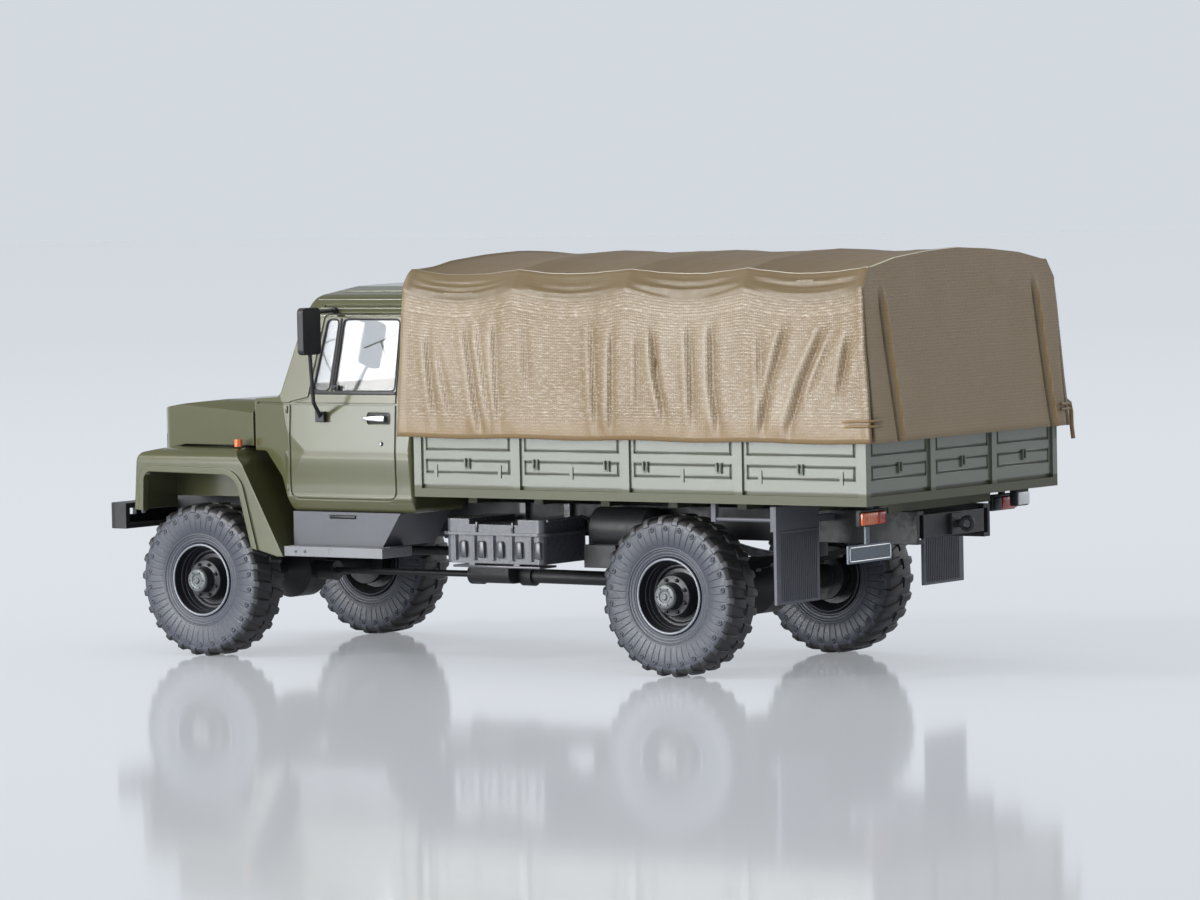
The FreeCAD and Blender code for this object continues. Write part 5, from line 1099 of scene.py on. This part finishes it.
bedTrim = {"face": 26.0, "front": -9.1, "bays": ((1.35, 18.17), (19.52, 37.83), (39.18, 57.57), (58.92, 78.65)),
           "tailFace": 70.55, "tailBays": ((-25.03, -9.13), (-7.78, 7.78), (9.13, 25.03)), "margin": 0.7,
           "levels": ((29.31, 31.29), (32.72, 36.90)), "line": 0.25, "lineDepths": (0.17, 0.06),
           "beadGap": 0.07, "beadDepth": 0.04, "beadRadius": 0.09, "hookTop": 31.57, "hookHeight": 1.6,
           "hookHalf": 0.36, "hookRadius": 0.14, "hookDepth": -0.24,
           "hooks": ((0.5,), (0.15, 0.85), (0.15, 0.85), (0.5,))}


def bedLines():
    grooveShade, bead = bmesh.new(), bmesh.new()
    wide, gap, margin = (bedTrim[key] for key in ("line", "beadGap", "margin"))
    deep, shallow = bedTrim["lineDepths"]

    def frameLines(place, a0, a1):
        for low, high in bedTrim["levels"]:
            # Painted shadow strips in the pressed lines
            for u0, u1, v0, v1 in ((a0, a1, low, low + wide), (a0, a1, high - wide, high),
                                   (a0, a0 + wide, low, high), (a1 - wide, a1, low, high)):
                addBlock(grooveShade, place(u0, v0, deep), place(u1, v1, shallow))
            for u0, u1, v0, v1 in ((a0 - gap, a1 + gap, low - gap, high + gap),
                                   (a0 + wide + gap, a1 - wide - gap, low + wide + gap, high - wide - gap)):
                loop = [place(u, v, bedTrim["beadDepth"]) for u, v in ((u0, v0), (u1, v0), (u1, v1), (u0, v1))]
                addTube(bead, loop, bedTrim["beadRadius"], closed=True)

    def hook(place, middle):
        half, top = bedTrim["hookHalf"], bedTrim["hookTop"]
        low = top - bedTrim["hookHeight"] + bedTrim["hookRadius"]
        line = [place(middle + u, v, bedTrim["hookDepth"])
                for u, v in ((-half, top), (-half, low + 0.2), (-half * 0.6, low),
                             (half * 0.6, low), (half, low + 0.2), (half, top))]
        addTube(bead, line, bedTrim["hookRadius"])

    def onSide(a, z, depth):
        return (bedTrim["face"] - depth, bedTrim["front"] + a, z)

    def onTail(a, z, depth):
        return (a, bedTrim["tailFace"] - depth, z)
    for (a0, a1), hooks in zip(bedTrim["bays"], bedTrim["hooks"]):
        frameLines(onSide, a0 + margin, a1 - margin)
        for share in hooks:
            hook(onSide, a0 + (a1 - a0) * share)
    mirrorCopy(grooveShade)
    mirrorCopy(bead)
    for a0, a1 in bedTrim["tailBays"]:
        frameLines(onTail, a0 + margin, a1 - margin)
        hook(onTail, (a0 + a1) / 2)
    finishPiece("bed_groove_shade", grooveShade, "bedSeam")
    finishPiece("bed_beads", bead, "bedGreen", sharp=60)


bedLines()
print("bed trim ready")

# Tail: lamps, number plate border, ribs of the mud flaps

lampUnits = {    # inner and outer X, low and high corner in Y and Z, round, finish on the left and the right
    "blocks": ((14.85, 21.35, (65.75, 22.45), (66.55, 24.85), 0.12, 2, 2),
               (17.0, 21.2, (66.4, 22.62), (67.0, 24.45), 0.2, 0, 1),
               (15.0, 16.9, (66.4, 22.62), (67.0, 24.45), 0.2, 1, 2),
               (14.9, 21.3, (66.3, 24.5), (66.85, 24.85), 0.1, 2, 2),
               (17.6, 18.6, (65.8, 24.8), (66.5, 25.68), 0.06, 2, 2)),
    "screws": (16.0, 20.2), "screwLine": (66.9, 67.04, 23.5), "screwRadius": 0.12}
reverseLamp = {"housing": ((-19.1, 69.0, 23.2), (-15.6, 70.3, 25.72), 0.22),
               "glass": ((-18.85, 70.2, 23.4), (-15.85, 70.62, 25.3), 0.18)}
plateBorder = {"low": (14.15, 17.72), "high": (24.85, 19.68), "face": 67.02, "corner": 0.25, "radius": 0.09}
flapSetup = {"ribs": 19, "first": 15.0, "pitch": 0.5, "width": 0.15, "foot": 54.8, "face": 54.9, "relief": 0.12,
             "levels": (11.6, 21.3), "strip": ((14.7, 54.8, 21.5), (24.3, 54.98, 21.75), 0.05)}


def tailLamps():
    mesh = bmesh.new()
    near, far, level = lampUnits["screwLine"]
    for side in (1, -1):
        for inner, outer, low, high, corner, left, right in lampUnits["blocks"]:
            x0, x1 = sorted((inner * side, outer * side))
            addBlock(mesh, (x0, *low), (x1, *high), corner, left if side > 0 else right)
        for x in lampUnits["screws"]:
            addRod(mesh, (x * side, near, level), (x * side, far, level), lampUnits["screwRadius"], sides=8, finish=2)
    finishPiece("tail_lamp_units", mesh, ["lampOrange", "lampRed", "chassisBlack"],
                replaces=["tail_lamps"])


def reversingLamp():
    mesh = bmesh.new()
    addBlock(mesh, *reverseLamp["housing"])
    addBlock(mesh, *reverseLamp["glass"], finish=1)
    finishPiece("reversing_lamp", mesh, ["chassisBlack", "lampWhite"])


def plateFrame():
    mesh = bmesh.new()
    (x0, z0), (x1, z1) = plateBorder["low"], plateBorder["high"]
    corners = [(x, plateBorder["face"], z) for x, z in ((x0, z0), (x1, z0), (x1, z1), (x0, z1))]
    addTube(mesh, rounded(corners, plateBorder["corner"]), plateBorder["radius"], closed=True)
    finishPiece("plate_border", mesh, "brightMetal")


def flapRibs():
    mesh = bmesh.new()
    half = flapSetup["width"] / 2
    low, high = flapSetup["levels"]
    for index in range(flapSetup["ribs"]):
        x = flapSetup["first"] + index * flapSetup["pitch"]
        addBlock(mesh, (x - half, flapSetup["foot"], low), (x + half, flapSetup["face"] + flapSetup["relief"], high))
    addBlock(mesh, *flapSetup["strip"])
    mirrorCopy(mesh)
    finishPiece("flap_ribs", mesh, "flapRubber")


tailLamps()
reversingLamp()
plateFrame()
flapRibs()
print("tail ready")

# Chassis trim

tankTrim = {"ribs": (-1.86, 1.5, 4.95, 8.4, 11.85), "ribHalf": 0.62, "ribLow": 16.6, "ribHigh": 19.2, "skin": 24.0,
            "ribDepth": (-0.2, 0.40), "ribRound": 0.28, "edgeOut": 0.42, "edgeRadius": 0.07,
            "strapY": 13.2, "strapRadius": 0.18,
            "strap": ((23.6, 22.3), (14.5, 22.5), (13.2, 21.9), (12.8, 20.4), (12.8, 17.2), (13.4, 16.0)),
            "tray": ((20.2, -3.6, 15.2), (24.55, 12.4, 15.55), 0.1), "clips": (0.6, 7.2),
            "clipKnob": (24.0, 24.32, 21.2, 0.22), "clipPlate": (23.9, 24.22, 0.18, 20.4, 22.0)}


def tankDetails():
    mesh = bmesh.new()
    skin, half, low, high = (tankTrim[key] for key in ("skin", "ribHalf", "ribLow", "ribHigh"))
    inner, outer = tankTrim["ribDepth"]
    for y in tankTrim["ribs"]:
        addBlock(mesh, (skin + inner, y - half, low), (skin + outer, y + half, high), tankTrim["ribRound"])
        addTube(mesh, [(skin + tankTrim["edgeOut"], y + half * share, z) for share, z in
                       ((-1, low), (-0.8, high - 0.3), (0, high), (0.8, high - 0.3), (1, low))],
                tankTrim["edgeRadius"])
    addTube(mesh, [(x, tankTrim["strapY"], z) for x, z in tankTrim["strap"]], tankTrim["strapRadius"])
    addBlock(mesh, *tankTrim["tray"])
    for y in tankTrim["clips"]:
        x0, x1, level, radius = tankTrim["clipKnob"]
        addRod(mesh, (x0, y, level), (x1, y, level), radius, sides=12, corner=0.05)
        x0, x1, half, low, high = tankTrim["clipPlate"]
        addBlock(mesh, (x0, y - half, low), (x1, y + half, high), 0.06)
    mirrorCopy(mesh)
    finishPiece("tank_trim", mesh, "tankBlack")


stepTrim = {"studs": (2.2, 4.0), "studDrop": 0.75, "studOut": (-0.05, 0.14), "studRadius": 0.2, "treads": 9,
            "treadFirst": 0.8, "treadEnds": 1.4, "treadHalf": 0.09, "treadSide": 0.6, "treadRise": (-0.05, 0.1),
            "slotForward": 0.6, "slot": (-2.6, 2.4), "slotDrop": 0.72, "slotSink": 0.06, "slotRadius": 0.30}


def stepDetails():
    low, high = (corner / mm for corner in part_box("step_left"))
    boxLow, boxHigh = (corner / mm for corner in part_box("step_box_left"))
    mesh = bmesh.new()
    for y in stepTrim["studs"]:
        ends = [(high.x + out, low.y + y, high.z - stepTrim["studDrop"]) for out in stepTrim["studOut"]]
        addRod(mesh, *ends, stepTrim["studRadius"], sides=12, corner=0.04)
    half, side = stepTrim["treadHalf"], stepTrim["treadSide"]
    foot, top = (high.z + rise for rise in stepTrim["treadRise"])
    for index in range(stepTrim["treads"]):
        share = index * (high.x - low.x - stepTrim["treadEnds"]) / (stepTrim["treads"] - 1)
        x = low.x + stepTrim["treadFirst"] + share
        addBlock(mesh, (x - half, low.y + side, foot), (x + half, high.y - side, top))
    mirrorCopy(mesh)
    finishPiece("step_treads", mesh, "boxGrey")
    # Painted shade: a dark rod on the box face stands in for the shade of its slot
    mesh = bmesh.new()
    middle = (boxLow.y + boxHigh.y) / 2 - stepTrim["slotForward"]
    ends = [(boxHigh.x - stepTrim["slotSink"], middle + end, boxHigh.z - stepTrim["slotDrop"])
            for end in stepTrim["slot"]]
    addRod(mesh, *ends, stepTrim["slotRadius"], corner=0.1)
    mirrorCopy(mesh)
    finishPiece("box_slot_shade", mesh, "rubberSeal")


ribSetup = {"levels": (53.6, 54.9, 56.1), "front": -35.5, "length": 22.9, "points": 19, "lift": 0.06, "radius": 0.15}


def roofRibs():
    # Rails laid on the flank of the cab roof, found by rays from inside the shell
    mesh = bmesh.new()
    for level in ribSetup["levels"]:
        line = []
        for step in range(ribSetup["points"]):
            start = (0.05, ribSetup["front"] + step * (ribSetup["length"] / (ribSetup["points"] - 1)), level)
            hit, place, _, _ = nodes["cab_shell"].ray_cast(Vector((start[0], start[1] * mm, start[2] * mm)),
                                                           Vector((-1, 0, 0)))
            if hit:
                line.append(place / mm - Vector((ribSetup["lift"], 0, 0)))
        addTube(mesh, line, ribSetup["radius"])
    mirrorCopy(mesh)
    finishPiece("roof_ribs", mesh, "bodyGreen")


tankDetails()
stepDetails()
roofRibs()
print("chassis trim ready")
